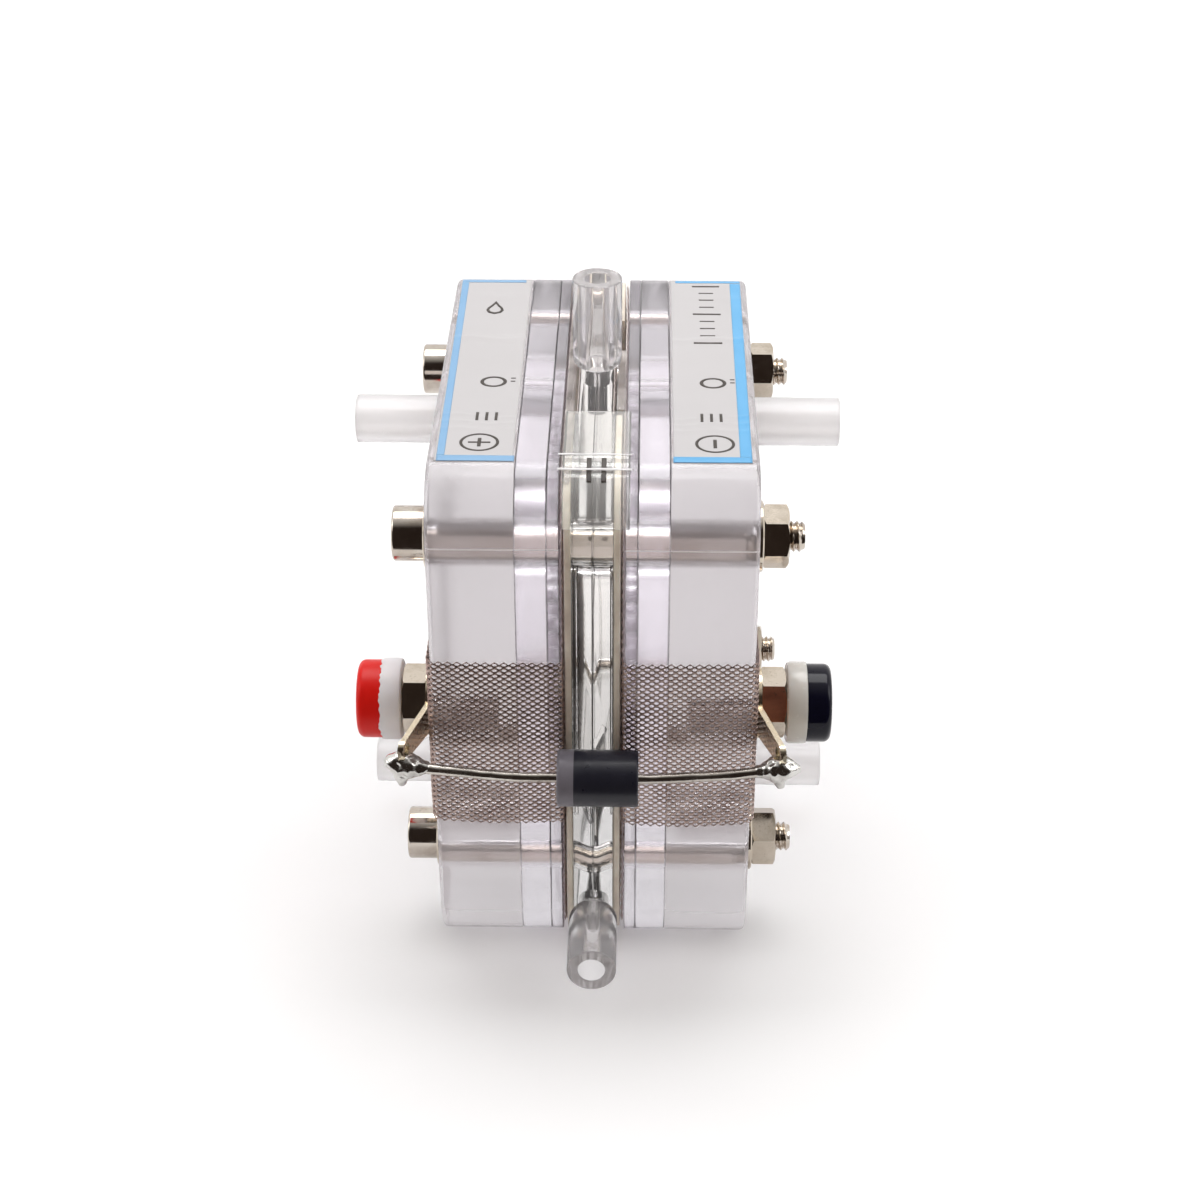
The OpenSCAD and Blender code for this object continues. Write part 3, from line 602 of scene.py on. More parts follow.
def makeOxygenTube(node, side, z):
    t = tubes
    root = endX
    seat, face = root - t["oxygenSeat"], root + t["oxygenGap"]
    rows = [(seat, t["bore"]), (seat, t["oxygenSeatRadius"]), (face, t["oxygenSeatRadius"]),
        (face, t["radius"] - t["oxygenEdge"]), (face + t["oxygenEdge"], t["radius"])]
    bm = bmesh.new()
    turned(bm, rows + tubeTip(root + t["oxygenOut"], 4), onAxis(side, 0, z), 72, True)
    finishPiece(node, bm, "tubeMilky", "oxygen_tube_plastic", 25)


makeHydrogenTube("top", tubes["topOut"], lambda a, b, c: (b, c, plateHeight + a))
makeHydrogenTube("front", tubes["frontOut"], lambda a, b, c: (b, -halfDepth - a, tubes["frontZ"] + c))
for name, side in leftRight:
    for level, z in zip(("upper", "lower"), stack["oxygenHeights"]):
        makeOxygenTube("oxygen_tube_" + level + "_" + name, side, z)
print("tubes made")


# Bolts, washers and nuts
bolts = {
    "headRadius": 3.5,
    "headHeight": 4,
    "headEdge": 0.35,
    "headSpins": (0.7, 2.6, 4.5, 6.4),
    "keyFlats": 3,
    "keyDepth": 2,
    "keyTip": 0.5,
    "keyRim": (0.15, 0.12),
    "washerRadius": 4.5,
    "washerThickness": 0.8,
    "washerGap": 0.15,
    "washerEdge": 0.18,
    "nut": (7, 3.2, 1.72, 0.45, 0.55),   # as for nutRows: flats, height, bore and the two rims
    "nutSpins": (0.05, -0.38, 0.02, -0.55),
    "tip": 2,
    "tipEdge": (0.35, 0.45),
    "threadPitch": 0.7,
    "threadDepth": 0.36,
    "threadLength": 8,
    "threadFade": 0.4,
    "rowsPerTurn": 8,
}


def hexRadius(flats, angle):
    a = (angle + pi / 6) % (pi / 3) - pi / 6
    return flats / 2 / cos(a)


def nutRows(x, flats, height, bore, low, high):
    # low and high: how far the two faces' rims are turned in below the corners
    corner = flats / 2 / cos(pi / 6)
    slope = tan(radians(30))
    end = x + height

    def rim(turnedIn):
        return lambda a: min(hexRadius(flats, a), corner - turnedIn) - 0.02

    def rise(a, turnedIn):
        return max(0, hexRadius(flats, a) - (corner - turnedIn)) * slope

    def flank(a):
        return hexRadius(flats, a)

    return [(x, bore + 0.25), (x, rim(low)), (lambda a: x + rise(a, low), flank),
        (lambda a: end - rise(a, high), flank), (end, rim(high)), (end, bore + 0.25),
        (end - 0.25, bore), (x + 0.25, bore), (x, bore + 0.25)]


def boltRows():
    b = bolts
    shank, r, edge = boltRadius, b["headRadius"], b["headEdge"]
    top = -endX - b["washerThickness"] - b["headHeight"]
    tipX = endX + b["washerThickness"] + b["nut"][1] + b["tip"]
    rimDepth, rimWidth = b["keyRim"]

    def key(angle):
        return hexRadius(b["keyFlats"], angle)

    rows = [(top + b["keyDepth"] + b["keyTip"], 0.01), (top + b["keyDepth"], key), (top + rimDepth, key),
        (top, lambda a: key(a) + rimWidth), *roundedCorner(top, r - edge, top + edge, r, 5, -1)]
    start = tipX - b["threadLength"]
    rows += [(top + b["headHeight"], r), (top + b["headHeight"], shank), (start - b["threadFade"], shank)]
    tipLength, tipIn = b["tipEdge"]
    count = int(b["threadLength"] / b["threadPitch"] * b["rowsPerTurn"])
    for i in range(count + 1):
        along = start + (b["threadLength"] - tipLength) * i / count

        def thread(angle, along=along, depth=b["threadDepth"] * min(1, i / b["rowsPerTurn"])):
            turn = (along / b["threadPitch"] - angle / (2 * pi)) % 1
            return shank - depth * abs(2 * turn - 1) ** 0.8

        rows.append((along, thread))
    return rows + [(tipX, shank - tipIn), (tipX, 0.01)]


def washerRows():
    x0, x1 = endX, endX + bolts["washerThickness"]
    r, bore, edge = bolts["washerRadius"], boltRadius + bolts["washerGap"], bolts["washerEdge"]
    return [(x0, bore), (x0, r - edge), (x0 + edge, r), (x1 - edge, r), (x1, r - edge), (x1, bore)]


def makeAtBolts(node, rows, steps, finish, sharp, spins=(0, 0, 0, 0), sides=(1,), closed=False):
    bm = bmesh.new()
    for (y, z), spin in zip(boltPlaces(), spins):
        for side in sides:
            turned(bm, rows, onAxis(side, y, z, spin), steps, closed)
    finishPiece(node, bm, finish, "bolt_steel", sharp)


makeAtBolts("tie_bolts", boltRows(), 48, "boltSteel", 38, bolts["headSpins"])
makeAtBolts("bolt_washers", washerRows(), 48, "nickel", 30, sides=(-1, 1), closed=True)
makeAtBolts("bolt_nuts", nutRows(endX + bolts["washerThickness"], *bolts["nut"]), 72, "nickel", 30,
    bolts["nutSpins"])
print("bolts made")


# Plug sockets
sockets = {
    "nut": (8, 3.2, 3.05, 0.3, 0.6),     # flats, height, bore and the two rims
    "insulatorRadius": 5.35,
    "insulatorEdge": 0.5,
    "capRadius": 5.1,
    "capEdge": 0.9,
    "mouth": 2.35,
    "mouthEdge": 0.2,
    "bush": 3.05,
    # height of the moulding flash that laps over the rim of the cap: even part, share that wanders
    "flash": {"left": (0.105, 0.3), "right": (0.05, 0)},
    "insulatorLook": {"left": ("whitePlastic", "insulator_white"),
        "right": ("creamPlastic", "insulator_cream")},
    "capLook": {"left": ("redPlastic", "cap_red"), "right": ("blackPlastic", "cap_black")},
}


def makeSocketNut(name, side, place, x0):
    bm = bmesh.new()
    turned(bm, nutRows(x0, *sockets["nut"]), place, 72)
    bm.normal_update()
    # the right nut's facets that face the front and upwards get a painted copper-red reflection
    reflectingFacing = Vector((0, -cos(radians(30)), sin(radians(30))))
    for face in bm.faces:
        if side > 0 and face.normal.dot(reflectingFacing) > 0.98:
            face.material_index = 1
    finishPiece("socket_nut_" + name, bm, ["nickel", "copperShow"], "nickel_plate")


def makeInsulator(name, place, x0, x1):
    s = sockets
    r, bush, cap, edge = s["insulatorRadius"], s["bush"], s["capRadius"], s["insulatorEdge"]
    even, wandering = s["flash"][name]

    def flash(angle):
        p, q = cos(angle), sin(angle)
        return even + wandering * (ripple(3 * p, 3 * q, 4.0) + 0.8 * ripple(9 * p, 9 * q, 2.0))

    rows = [(x0, bush), (x0, r - edge), (x0 + 0.15, r - 0.15), (x0 + edge, r), (x1 - 0.25, r),
        (lambda a: x1 - 0.05 + flash(a), r - 0.08), (lambda a: x1 + flash(a), cap + 0.03),
        (x1 - 0.2, cap + 0.01), (x1 - 0.2, bush), (x0, bush)]
    bm = bmesh.new()
    turned(bm, rows, place, 144)
    bmesh.ops.remove_doubles(bm, verts=bm.verts, dist=0.0005)
    finishPiece("socket_insulator_" + name, bm, *s["insulatorLook"][name])


def makeCap(name, place, x0, x1):
    s = sockets
    r, edge, mouth, rim = s["capRadius"], s["capEdge"], s["mouth"], s["mouthEdge"]
    rows = [(x0, s["bush"]), (x0, r - 0.1), (x0 + 0.1, r)]
    rows += roundedCorner(x1 - edge, r, x1, r - edge, 7)
    rows += roundedCorner(x1, mouth + rim, x1 - rim, mouth, 3, -1)
    rows += [(x1 - 0.35, mouth), (x1 - 0.35, s["bush"])]
    bm = bmesh.new()
    turned(bm, rows, place, 96, True)
    finishPiece("socket_cap_" + name, bm, *s["capLook"][name])


for name, side in leftRight:
    y, z = stack["socketY"], stack["socketZ"]
    capX = reachOf("socket_cap_right", 0, 0)
    makeSocketNut(name, side, onAxis(side, y, z, pi / 6), reachOf("socket_nut_right", 0, 0))
    makeInsulator(name, onAxis(side, y, z), reachOf("socket_insulator_right", 0, 0), capX)
    makeCap(name, onAxis(side, y, z), capX, reachOf("socket_cap_right", 0))
print("sockets made")


# Expanded metal: collector strips, sheets and folded edges
cells = {
    # pitch along u and v, half width and height of the gap, tilt of its webs, thickness
    "strip": {"column": 1.17, "row": 0.41, "gap": (0.35, 0.205), "tilt": 0.03, "thickness": 0.09},
    "sheet": {"column": 1.8, "row": 0.66, "gap": (0.42, 0.2), "tilt": 0.12, "thickness": 0.1},
    "inner": {"column": 1.8, "row": 0.66, "gap": (0.42, 0.2), "tilt": 0.1, "thickness": 0.1},
    "fold": {"column": 0.75, "row": 0.18, "gap": (0.24, 0.075), "tilt": 0.05, "thickness": 0.05},
}
collector = {
    "width": 24,
    "middleZ": 34.9,
    "slotX": 3.75,
    "slotY": -33.2,
    "frontY": -34.3,
    "cornerX": 19.55,
    "cornerRadius": 1.2,
    "endY": -17.5,
    "studRadius": 3.4,
    "bow": 0.12,
    # radius and bulge of the front bend, and how far the lower edge sags
    "left": {"bend": 0.45, "bulge": 0.05, "sag": 0.3},
    "right": {"bend": 1.1, "bulge": 0.35, "sag": 0.55},
    "sheetX": 3.77,
    "sheetInset": 0.8,
    "boltClear": 3.7,
    "innerX": 2.3,
    "innerHalf": 18.4,
    "tabHalf": 13.5,
    "tabBelow": 0.9,
    "foldX": 2.78,
    "foldWidth": 1.05,
    "foldLift": -0.12,
    "foldEnds": {"left": (13.8, -31), "right": (4.3, -13)},
}


# Diamond tiles with a lens-shaped gap; place maps (u, v, out) to a point, keep says which tiles stay
def expandedMetal(node, cell, columns, rows, place, keep, finish, replaced=None, lean=1):
    verts, faces, known = [], [], {}
    outer = ((0.5, 0), (0.25, 0.5), (0, 1), (-0.25, 0.5), (-0.5, 0), (-0.25, -0.5), (0, -1), (0.25, -0.5))
    inner = ((1, 0, 0), (0.55, 0.8, -1), (0, 1.05, -1), (-0.55, 0.8, -1), (-1, 0, 0), (-0.55, -0.8, 1),
        (0, -1.05, 1), (0.55, -0.8, 1))
    column, row, tilt, (halfWidth, halfHeight) = cell["column"], cell["row"], lean * cell["tilt"], cell["gap"]
    for j in range(rows):
        for i in range(columns):
            u, v = (i + (0.5 if j % 2 else 0)) * column, j * row
            if not keep(u, v):
                continue
            ring = []
            for a, b in outer:
                key = (round(4 * (u / column + a)), round(2 * (j + b)))
                if key not in known:
                    known[key] = len(verts)
                    verts.append(place(u + a * column, v + b * row, 0))
                ring.append(known[key])
            lens = range(len(verts), len(verts) + len(inner))
            verts += [place(u + a * halfWidth, v + b * halfHeight, s * tilt) for a, b, s in inner]
            for k in range(len(outer)):
                n = (k + 1) % len(outer)
                faces.append((ring[k], ring[n], lens[n], lens[k]))
    mesh = bpy.data.meshes.new(node)
    mesh.from_pydata([tuple(c * mm for c in v) for v in verts], [], faces)
    mesh.shade_smooth()
    modify(addPiece(node, mesh, finish, "collector_steel", replaced), "SOLIDIFY",
        thickness=cell["thickness"] * mm, offset=0)


# The strip's line seen from above: points and their distance along it
def stripLine(bend, bulge):
    c = collector
    corner = c["cornerRadius"]
    start, bendY = c["slotX"] + bend, c["frontY"] + bend - bulge
    points = [(c["slotX"], c["slotY"]), (c["slotX"], bendY)]
    points += [(start - bend * cos(a), bendY - bend * sin(a)) for a in quarter(12)[1:]]
    for i in range(1, 21):
        t = i / 20
        points.append((start + (c["cornerX"] - start) * t,
            c["frontY"] - bulge * (1 - t) ** 3 - c["bow"] * sin(pi * t)))
    points += [(c["cornerX"] + corner * sin(a), c["frontY"] + corner - corner * cos(a))
        for a in quarter(12)[1:]]
    points.append((c["cornerX"] + corner, c["endY"]))
    lengths = [0]
    for a, b in zip(points, points[1:]):
        lengths.append(lengths[-1] + dist(a, b))
    return points, lengths


def pointAlong(points, lengths, s):
    # the point at distance s, and the outward normal there
    s = min(max(s, 0), lengths[-1])
    k = next(k for k in range(len(lengths) - 1) if s <= lengths[k + 1])
    t = (s - lengths[k]) / (lengths[k + 1] - lengths[k])
    a, b = points[k], points[k + 1]
    dx, dy = (b[0] - a[0]) / dist(a, b), (b[1] - a[1]) / dist(a, b)
    return a[0] + (b[0] - a[0]) * t, a[1] + (b[1] - a[1]) * t, dy, -dx


def makeStrip(name, side):
    c, cell, own = collector, cells["strip"], collector[name]
    points, lengths = stripLine(own["bend"], own["bulge"])
    total = lengths[-1]
    lowZ = c["middleZ"] - c["width"] / 2

    def place(u, v, out):
        x, y, nx, ny = pointAlong(points, lengths, u)
        drop = own["sag"] * sin(pi * min(1, u / 18)) * (1 - v / c["width"])
        wave = 0.10 * ripple(u * 0.22, v * 0.22, side * 7.3) - 0.05
        push = out - wave * (1 - abs(2 * u / total - 1)) * 0.8
        edge = 0.02 * ripple(u * 1.3, v * 1.3, side * 3.1)
        return side * (x + nx * push), y + ny * push, lowZ + v - drop + edge

    def keep(u, v):
        x, y, _, _ = pointAlong(points, lengths, u)
        fromStud = hypot(y - stack["socketY"], lowZ + v - stack["socketZ"])
        return u <= total and not (x > 20 and fromStud < c["studRadius"])

    columns, rows = int(total / cell["column"]), int(c["width"] / cell["row"]) + 1
    expandedMetal("collector_strip_" + name, cell, columns, rows, place, keep, "collectorSteel", lean=side)


def makeSheet(node, cell, side, middleX, isMetal, replaced=None):
    column, row = cell["column"], cell["row"]
    columns, rows = int(stack["plateDepth"] / column), int(plateHeight / row)
    startY, startZ = -(columns - 0.5) * column / 2, midZ - (rows - 1) * row / 2

    def place(u, v, out):
        return side * (middleX + out), startY + u, startZ + v

    def keep(u, v):
        return isMetal(startY + u, startZ + v)

    expandedMetal(node, cell, columns, rows, place, keep, "sheetSteel", replaced)


def onCollector(y, z):
    inset = collector["sheetInset"]
    if any(hypot(y - a, z - b) < collector["boltClear"] for a, b in boltPlaces()):
        return False
    radius = cornerRadius - inset
    dy, dz = abs(y) - (halfDepth - inset - radius), abs(z - midZ) - (midZ - inset - radius)
    return max(dy, dz) <= radius and (min(dy, dz) <= 0 or hypot(dy, dz) <= radius)


def onInnerMesh(y, z):
    if abs(y) < collector["tabHalf"] and z > midZ:
        return z < plateHeight - collector["tabBelow"]
    return max(abs(y), abs(z - midZ)) < collector["innerHalf"]


# The mesh is folded over between the plates, where its crumpled edge shows from above
def makeMeshFold(name, side):
    c, cell = collector, cells["fold"]
    rear, front = c["foldEnds"][name]

    def place(u, v, out):
        rough = 0.10 * ripple(u * 2.1, v * 3.0, side * 6.0) - 0.04
        y, z = onTop(rear - u, c["foldLift"] + rough + out)
        return side * (c["foldX"] + v + 0.12 * ripple(u * 0.9, v, side * 2.0)), y, z

    columns, rows = int((rear - front) / cell["column"]), int(c["foldWidth"] / cell["row"]) + 1
    expandedMetal("mesh_fold_" + name, cell, columns, rows, place, lambda u, v: True, "foldSteel")


for name, side in leftRight:
    makeStrip(name, side)
    makeMeshFold(name, side)
    makeSheet("collector_sheet_" + name, cells["sheet"], side, collector["sheetX"], onCollector,
        "collector_mesh_" + name)
    makeSheet("inner_mesh_" + name, cells["inner"], side, collector["innerX"], onInnerMesh)
print("collectors made")


# Gaskets: soft rings whose cut edges wander
gaskets = {
    "inset": 0.3,
    "wander": 0.22,
    "edge": 0.18,
    "windowEdge": 0.1,
    "notchHalf": 14,
    "notchDepth": 6,
    "boltHole": 2.7,
    "step": 0.8,
    "gaps": (0.03, 0.04),    # to the frame and to the collector
}


def finerRing(ring, step):
    points = []
    for a, b in zip(ring, ring[1:] + ring[:1]):
        parts = max(1, round(dist(a, b) / step))
        points += [(a[0] + (b[0] - a[0]) * i / parts, a[1] + (b[1] - a[1]) * i / parts) for i in range(parts)]
    return points


def grownRing(ring, grow):
    out = []
    for i, (y, z) in enumerate(ring):
        (py, pz), (ny, nz) = ring[i - 1], ring[(i + 1) % len(ring)]
        length = dist((py, pz), (ny, nz)) or 1
        out.append((y + grow * (nz - pz) / length, z - grow * (ny - py) / length))
    return out


def makeGasket(name, side):
    g = gaskets
    corner = roundedRing(2 * halfDepth, 2 * midZ, cornerRadius, -g["inset"], steps=10)
    top, half = corner[10][1], g["notchHalf"]
    low = top - g["notchDepth"]
    corner[11:11] = [(half, top), (half, low), (-half, low), (-half, top)]
    wandered = []
    for y, z in finerRing(corner, g["step"]):
        w = ripple(y * 0.22, z * 0.22, side * 5.0) + 0.5 * ripple(y * 0.7, z * 0.7, side * 2.0)
        out = Vector((y, z - midZ)).normalized() * w * g["wander"]
        wandered.append((y + out.x, z + out.y))
    x0, x1 = stack["frameX"] + g["gaps"][0], stack["gasketX"] - g["gaps"][1]
    outer = [(x, grownRing(wandered, grow)) for x, grow in edgeLevels(x0, x1, g["edge"], g["edge"], 3)]
    width = windowWidth
    holes = [holeRows(lambda grow: roundedRing(width, width, windowRadius, grow, steps=8), x0, x1,
        g["windowEdge"])]
    bm = plateMesh(side, outer, holes + boltHoleRows(x0, x1, g["boltHole"]))
    finishPiece("gasket_" + name, bm, "gasketRubber", "gasket_rubber", 40)


for name, side in leftRight:
    makeGasket(name, side)
print("gaskets made")


# Label films, their border and marks: u runs along the top edge, x across it
labels = {
    "reach": 27,
    "inner": 9.75,
    "outer": 19.4,
    "lift": 0.05,
    "film": 0.06,
    "print": 0.02,
    "printLift": 0.01,
    "wave": 0.02,
    "crease": 0.16,
    # u, width, height and slant of each crease
    "creases": ((7.4, 0.7, 1.0, 0.05), (-15.4, 0.35, 0.5, 0.12), (-17.2, 0.4, 0.7, 0.08),
        (-18.9, 0.5, 0.6, 0.02), (21, 1.2, 0.4, -0.1)),
    "frontBorder": 1.2,
    "borderInsets": (0.05, 0.6),
    "skewReach": 26,
    # half sizes across and along the top
    "poleRing": ((2.45, 2.3), (2.08, 1.98)),
    "poleBar": (0.22, 1.1),
    "plusBar": (1.38, 0.17),
    "portRing": ((1.72, 1.5), (1.26, 1.14)),
    "portDash": (0.3, 0.12),
    "stroke": (0.18, 1.1),
    "longTick": (1.9, 0.2),
    "shortTick": (1.0, 0.14),
    "ticks": [(14.6, 6.4 + 2.3 * i) for i in range(9)],
    "drop": ((0, 2.1), (0.5, 0.9), (1.05, -0.1), (1.2, -0.9), (0.85, -1.7), (0, -2.1), (-0.85, -1.7),
        (-1.2, -0.9), (-1.05, -0.1), (-0.5, 0.9)),
    "dropPlace": (14.4, 17.3),
    "dropInner": (0.68, -0.15),
    # widths of the border, and places of the marks as (x, u)
    "left": {"side": 0.95, "margin": 0.1, "skew": 0.2, "rear": 1.2, "pole": (14.1, -22.4),
        "port": (13.3, -5.6), "strokes": (13.6, -15.4)},
    "right": {"side": 1.45, "margin": 0.02, "skew": 0.05, "rear": 1.0, "pole": (14.9, -22.4),
        "port": (15.0, -5.6), "strokes": (14.6, -15.4)},
}


def creaseHeight(u, x, side):
    h = 0
    for at, width, high, slant in labels["creases"]:
        t = (u - at - slant * (x - 14) - 0.25 * sin(x * 0.9 + side)) / width
        h += high * exp(-t * t)
    return h * labels["crease"] * (0.65 + 0.5 * ripple(x * 0.3, u * 0.15, side * 4.0))


def filmHeight(u, x, side):
    waves = labels["wave"] * (ripple(u * 0.12, x * 0.15, side * 9.0) + 0.6)
    return labels["lift"] + waves + max(0, creaseHeight(u, x, side))


# A strip of film that follows a height over the top edge, cut into a fine grid
def filmGrid(bm, side, us, xs, counts, lift=0, height=filmHeight, skew=0):
    rows = []
    for i in range(counts[0] + 1):
        u = us[0] + (us[1] - us[0]) * i / counts[0]
        row = []
        for j in range(counts[1] + 1):
            x = xs[0] + (xs[1] - xs[0]) * j / counts[1] + skew * (u / labels["skewReach"])
            row.append(bm.verts.new((side * x, *onTop(u, height(u, x, side) + lift))))
        rows.append(row)
    bridge(bm, rows, closed=False)


def bar(bm, side, place, half, lift):
    (x, u), (halfX, halfU) = place, half
    filmGrid(bm, side, (u - halfU, u + halfU), (x - halfX, x + halfX), (6, 6), lift)


def outlineMark(bm, side, rings, centre, lift):
    # a mark between two outlines that correspond point by point, each (x, u) about the centre
    rows = []
    for ring in rings:
        places = [(centre[0] + dx, centre[1] + du) for dx, du in ring]
        rows.append([bm.verts.new((side * x, *onTop(u, filmHeight(u, x, side) + lift))) for x, u in places])
    bridge(bm, rows)


def ovals(sizes):
    return [[(rx * cos(a), ru * sin(a)) for a in circle(48)] for rx, ru in sizes]


def solidFilm(node, bm, finish, slot, thickness):
    modify(finishPiece(node, bm, finish, slot, 60), "SOLIDIFY", thickness=thickness * mm, offset=1)


def makeLabel(name, side):
    f, own = labels, labels[name]
    reach, inner, lift = f["reach"], f["inner"], f["film"] + f["printLift"]
    bm = bmesh.new()
    filmGrid(bm, side, (-reach, reach), (inner, f["outer"]), (220, 40))
    solidFilm("label_" + name, bm, "labelFilm", "label_film", f["film"])
    bm = bmesh.new()
    outer, front, rear = f["outer"] - own["margin"], f["frontBorder"] - reach, reach - own["rear"]
    frontIn, rearIn = f["borderInsets"]
    for us, xs, counts in (((front, -front), (outer - own["side"], outer), (200, 6)),
            ((-reach, front), (inner + frontIn, outer), (6, 30)),
            ((rear, reach), (inner + rearIn, outer), (6, 30))):
        filmGrid(bm, side, us, xs, counts, lift, skew=own["skew"])
    solidFilm("label_border_" + name, bm, "labelBlue" + name.title(), "label_film", f["print"])
    bm = bmesh.new()
    outlineMark(bm, side, ovals(f["poleRing"]), own["pole"], lift)
    bar(bm, side, own["pole"], f["poleBar"], lift + 0.004)
    outlineMark(bm, side, ovals(f["portRing"]), own["port"], lift)
    x, u = own["port"]
    for shift in (-0.45, 0.45):
        bar(bm, side, (x + side * 2.5, u + 0.6 + shift), f["portDash"], lift)
    x, u = own["strokes"]
    for shift in (-1.2, 0, 1.2):
        bar(bm, side, (x + shift, u), f["stroke"], lift)
    if side < 0:
        bar(bm, side, own["pole"], f["plusBar"], lift)
        share, shift = f["dropInner"]
        within = [(a * share, b * share + shift) for a, b in f["drop"]]
        outlineMark(bm, side, (f["drop"], within), f["dropPlace"], lift)
    else:
        for i, place in enumerate(f["ticks"]):
            bar(bm, side, place, f["shortTick"] if i % 4 else f["longTick"], lift)
    solidFilm("label_marks_" + name, bm, "labelBlack", "label_film", f["print"])


tape = {
    "halfWidth": 4.1,
    "middle": 0.45,
    "rear": -13.7,
    "front": -36,
    "thickness": 0.06,
    "lift": 0.03,
    "wave": 0.02,
    "folds": ((-25.6, 0.35), (-28.4, 0.3)),
    "foldHeight": 0.16,
    # white painted highlight lines where the tape is folded, and two printed bars
    "lineHalf": 0.16,
    "linePast": (0.5, 0.3),
    "lineLift": 0.12,
    "bars": (-0.45, 1.35),
    "barHalf": 0.3,
    "barEnds": (-30.2, -26.2),
    "barLift": 0.08,
}


def tapeHeight(u, x, side):
    folds = sum(exp(-((u - at - 0.1 * sin(x * 1.2)) / width) ** 2) for at, width in tape["folds"])
    return tape["lift"] + tape["wave"] * (ripple(u * 0.6, x * 0.6, 2) + 1) + tape["foldHeight"] * folds


def makeTape():
    t = tape
    left, right = t["middle"] - t["halfWidth"], t["middle"] + t["halfWidth"]
    bm = bmesh.new()
    filmGrid(bm, 1, (t["front"], t["rear"]), (left, right), (160, 24), 0, tapeHeight)
    solidFilm("centre_tape", bm, "tapeFilm", "tape_film", t["thickness"])
    # white strips over the folds are their painted highlights
    past, half = t["linePast"], t["lineHalf"]
    bm = bmesh.new()
    for at, _ in t["folds"]:
        filmGrid(bm, 1, (at - half, at + half), (left - past[0], right + past[1]), (3, 30), t["lineLift"],
            tapeHeight, 0.1)
    solidFilm("tape_folds", bm, "rubbedAcrylic", "tape_film", labels["print"])
    bm = bmesh.new()
    for x in t["bars"]:
        filmGrid(bm, 1, t["barEnds"], (x - t["barHalf"], x + t["barHalf"]), (20, 4), t["barLift"], tapeHeight)
    solidFilm("tape_marks", bm, "labelBlack", "tape_film", labels["print"])


for name, side in leftRight:
    makeLabel(name, side)
makeTape()
print("films made")


# Diode, its leads and the solder
diode = {
    "radius": 3.6,
    "low": -4.35,
    "high": 5.85,
    "edge": 0.3,
    "dimple": (0.12, 0.25),
    "band": 2.1,
    "bandRise": 0.012,
    "y": -38.5,
    "z": 32.5,
    "leadRadius": 0.6,
    "leadInside": 0.3,
    "leadEnd": 24.63,
    "leadRows": 70,
    "tinned": 0.08,
    "holeX": 23.63,
    "holeY": -37.24,
    "holeZ": 33.34,
    # offsets from the lug's hole (outwards, back, up) and radius of the balls the solder is poured from
    "left": ((0, 0, 0, 2.35), (0.9, 0, 0.35, 1.9), (1.7, 0, 0.3, 1.4), (-0.9, -0.1, -0.1, 2.0),
        (-1.8, -0.2, -0.2, 1.5), (-2.6, -0.25, -0.25, 1.2), (0.4, -0.2, -1.2, 1.5), (0.5, -0.3, -1.9, 1.1),
        (0.5, -0.3, -2.4, 0.8)),
    "right": ((0, 0, 0, 2.4), (0.9, 0, 0.1, 1.7), (1.7, 0, 0.0, 1.1), (2.2, 0, -0.05, 0.7),
        (-0.8, -0.1, -0.05, 2.0), (-1.7, -0.2, -0.2, 1.4), (-2.6, -0.25, -0.25, 1.15), (0.0, -0.2, -1.2, 1.4),
        (0.1, -0.3, -1.9, 0.95), (0.15, -0.3, -2.4, 0.7)),
    "ballGrid": 0.14,
    "ballThreshold": 0.3,
    "ballStiffness": 3,
}


def makeDiode():
    d = diode
    low, high, r, e, lead = d["low"], d["high"], d["radius"], d["edge"], d["leadRadius"]
    depth, ring = d["dimple"]
    bandEnd, bandRadius = low + d["band"], r + d["bandRise"]
    band = [(low + depth, lead), (low, lead + ring), *roundedCorner(low, r - e, low + e, r, 5, -1),
        (low + e + 0.01, bandRadius), (bandEnd - 0.02, bandRadius), (bandEnd, r)]
    body = [(bandEnd, r), (bandEnd + 2, r - 0.01), (high - 2, r), *roundedCorner(high - e, r, high, r - e),
        (high, lead + ring), (high - depth, lead)]
    bm = bmesh.new()
    turned(bm, band, onAxis(1, d["y"], d["z"]), 96, index=1)
    turned(bm, body, onAxis(1, d["y"], d["z"]), 96)
    bmesh.ops.remove_doubles(bm, verts=bm.verts, dist=0.001)
    finishPiece("diode_body", bm, ["diodeEpoxy", "diodeBand"], "diode_black", 40)


def leadPoint(side, t):
    # the same wide arc as the CAD lead; t runs from the body to the end of the lead
    d = diode
    start = (d["high"] if side > 0 else -d["low"]) - d["leadInside"]
    riseZ, riseY = d["holeZ"] - d["z"], d["holeY"] - d["y"]
    rise, run = hypot(riseY, riseZ), d["holeX"] - start
    r = (run * run + rise * rise) / (2 * rise)
    x = start + (d["leadEnd"] - start) * t
    up = r - sqrt(r * r - (x - start) ** 2)
    wobble = 0.05 * sin(x * 0.55 + side)
    return Vector((side * x, d["y"] + up * riseY / rise, d["z"] + up * riseZ / rise + wobble))


def makeLeads():
    count = diode["leadRows"]
    bm = bmesh.new()
    for side in (-1, 1):
        rows = []
        for i in range(count + 1):
            t = i / count
            p = leadPoint(side, t)
            ahead = (leadPoint(side, min(1, t + 0.01)) - leadPoint(side, max(0, t - 0.01))).normalized()
            across = ahead.cross(Vector((0, 0, 1))).normalized()
            up = across.cross(ahead)
            swell = 0.3 * max(0, t - 0.72)
            ring = []
            for a in circle(24):
                c, s = cos(a), sin(a)
                rough = 0.03 * ripple(p.x * 0.9, c * 1.2, s * 1.2 + side)
                r = diode["leadRadius"] + diode["tinned"] + swell + rough
                ring.append(bm.verts.new(p + across * r * c + up * r * s))
            rows.append(ring)
        bridge(bm, rows)
        bm.faces.new(rows[0])
        bm.faces.new(rows[-1])
    finishPiece("diode_leads", bm, "leadTin", "lead_tin", 60)


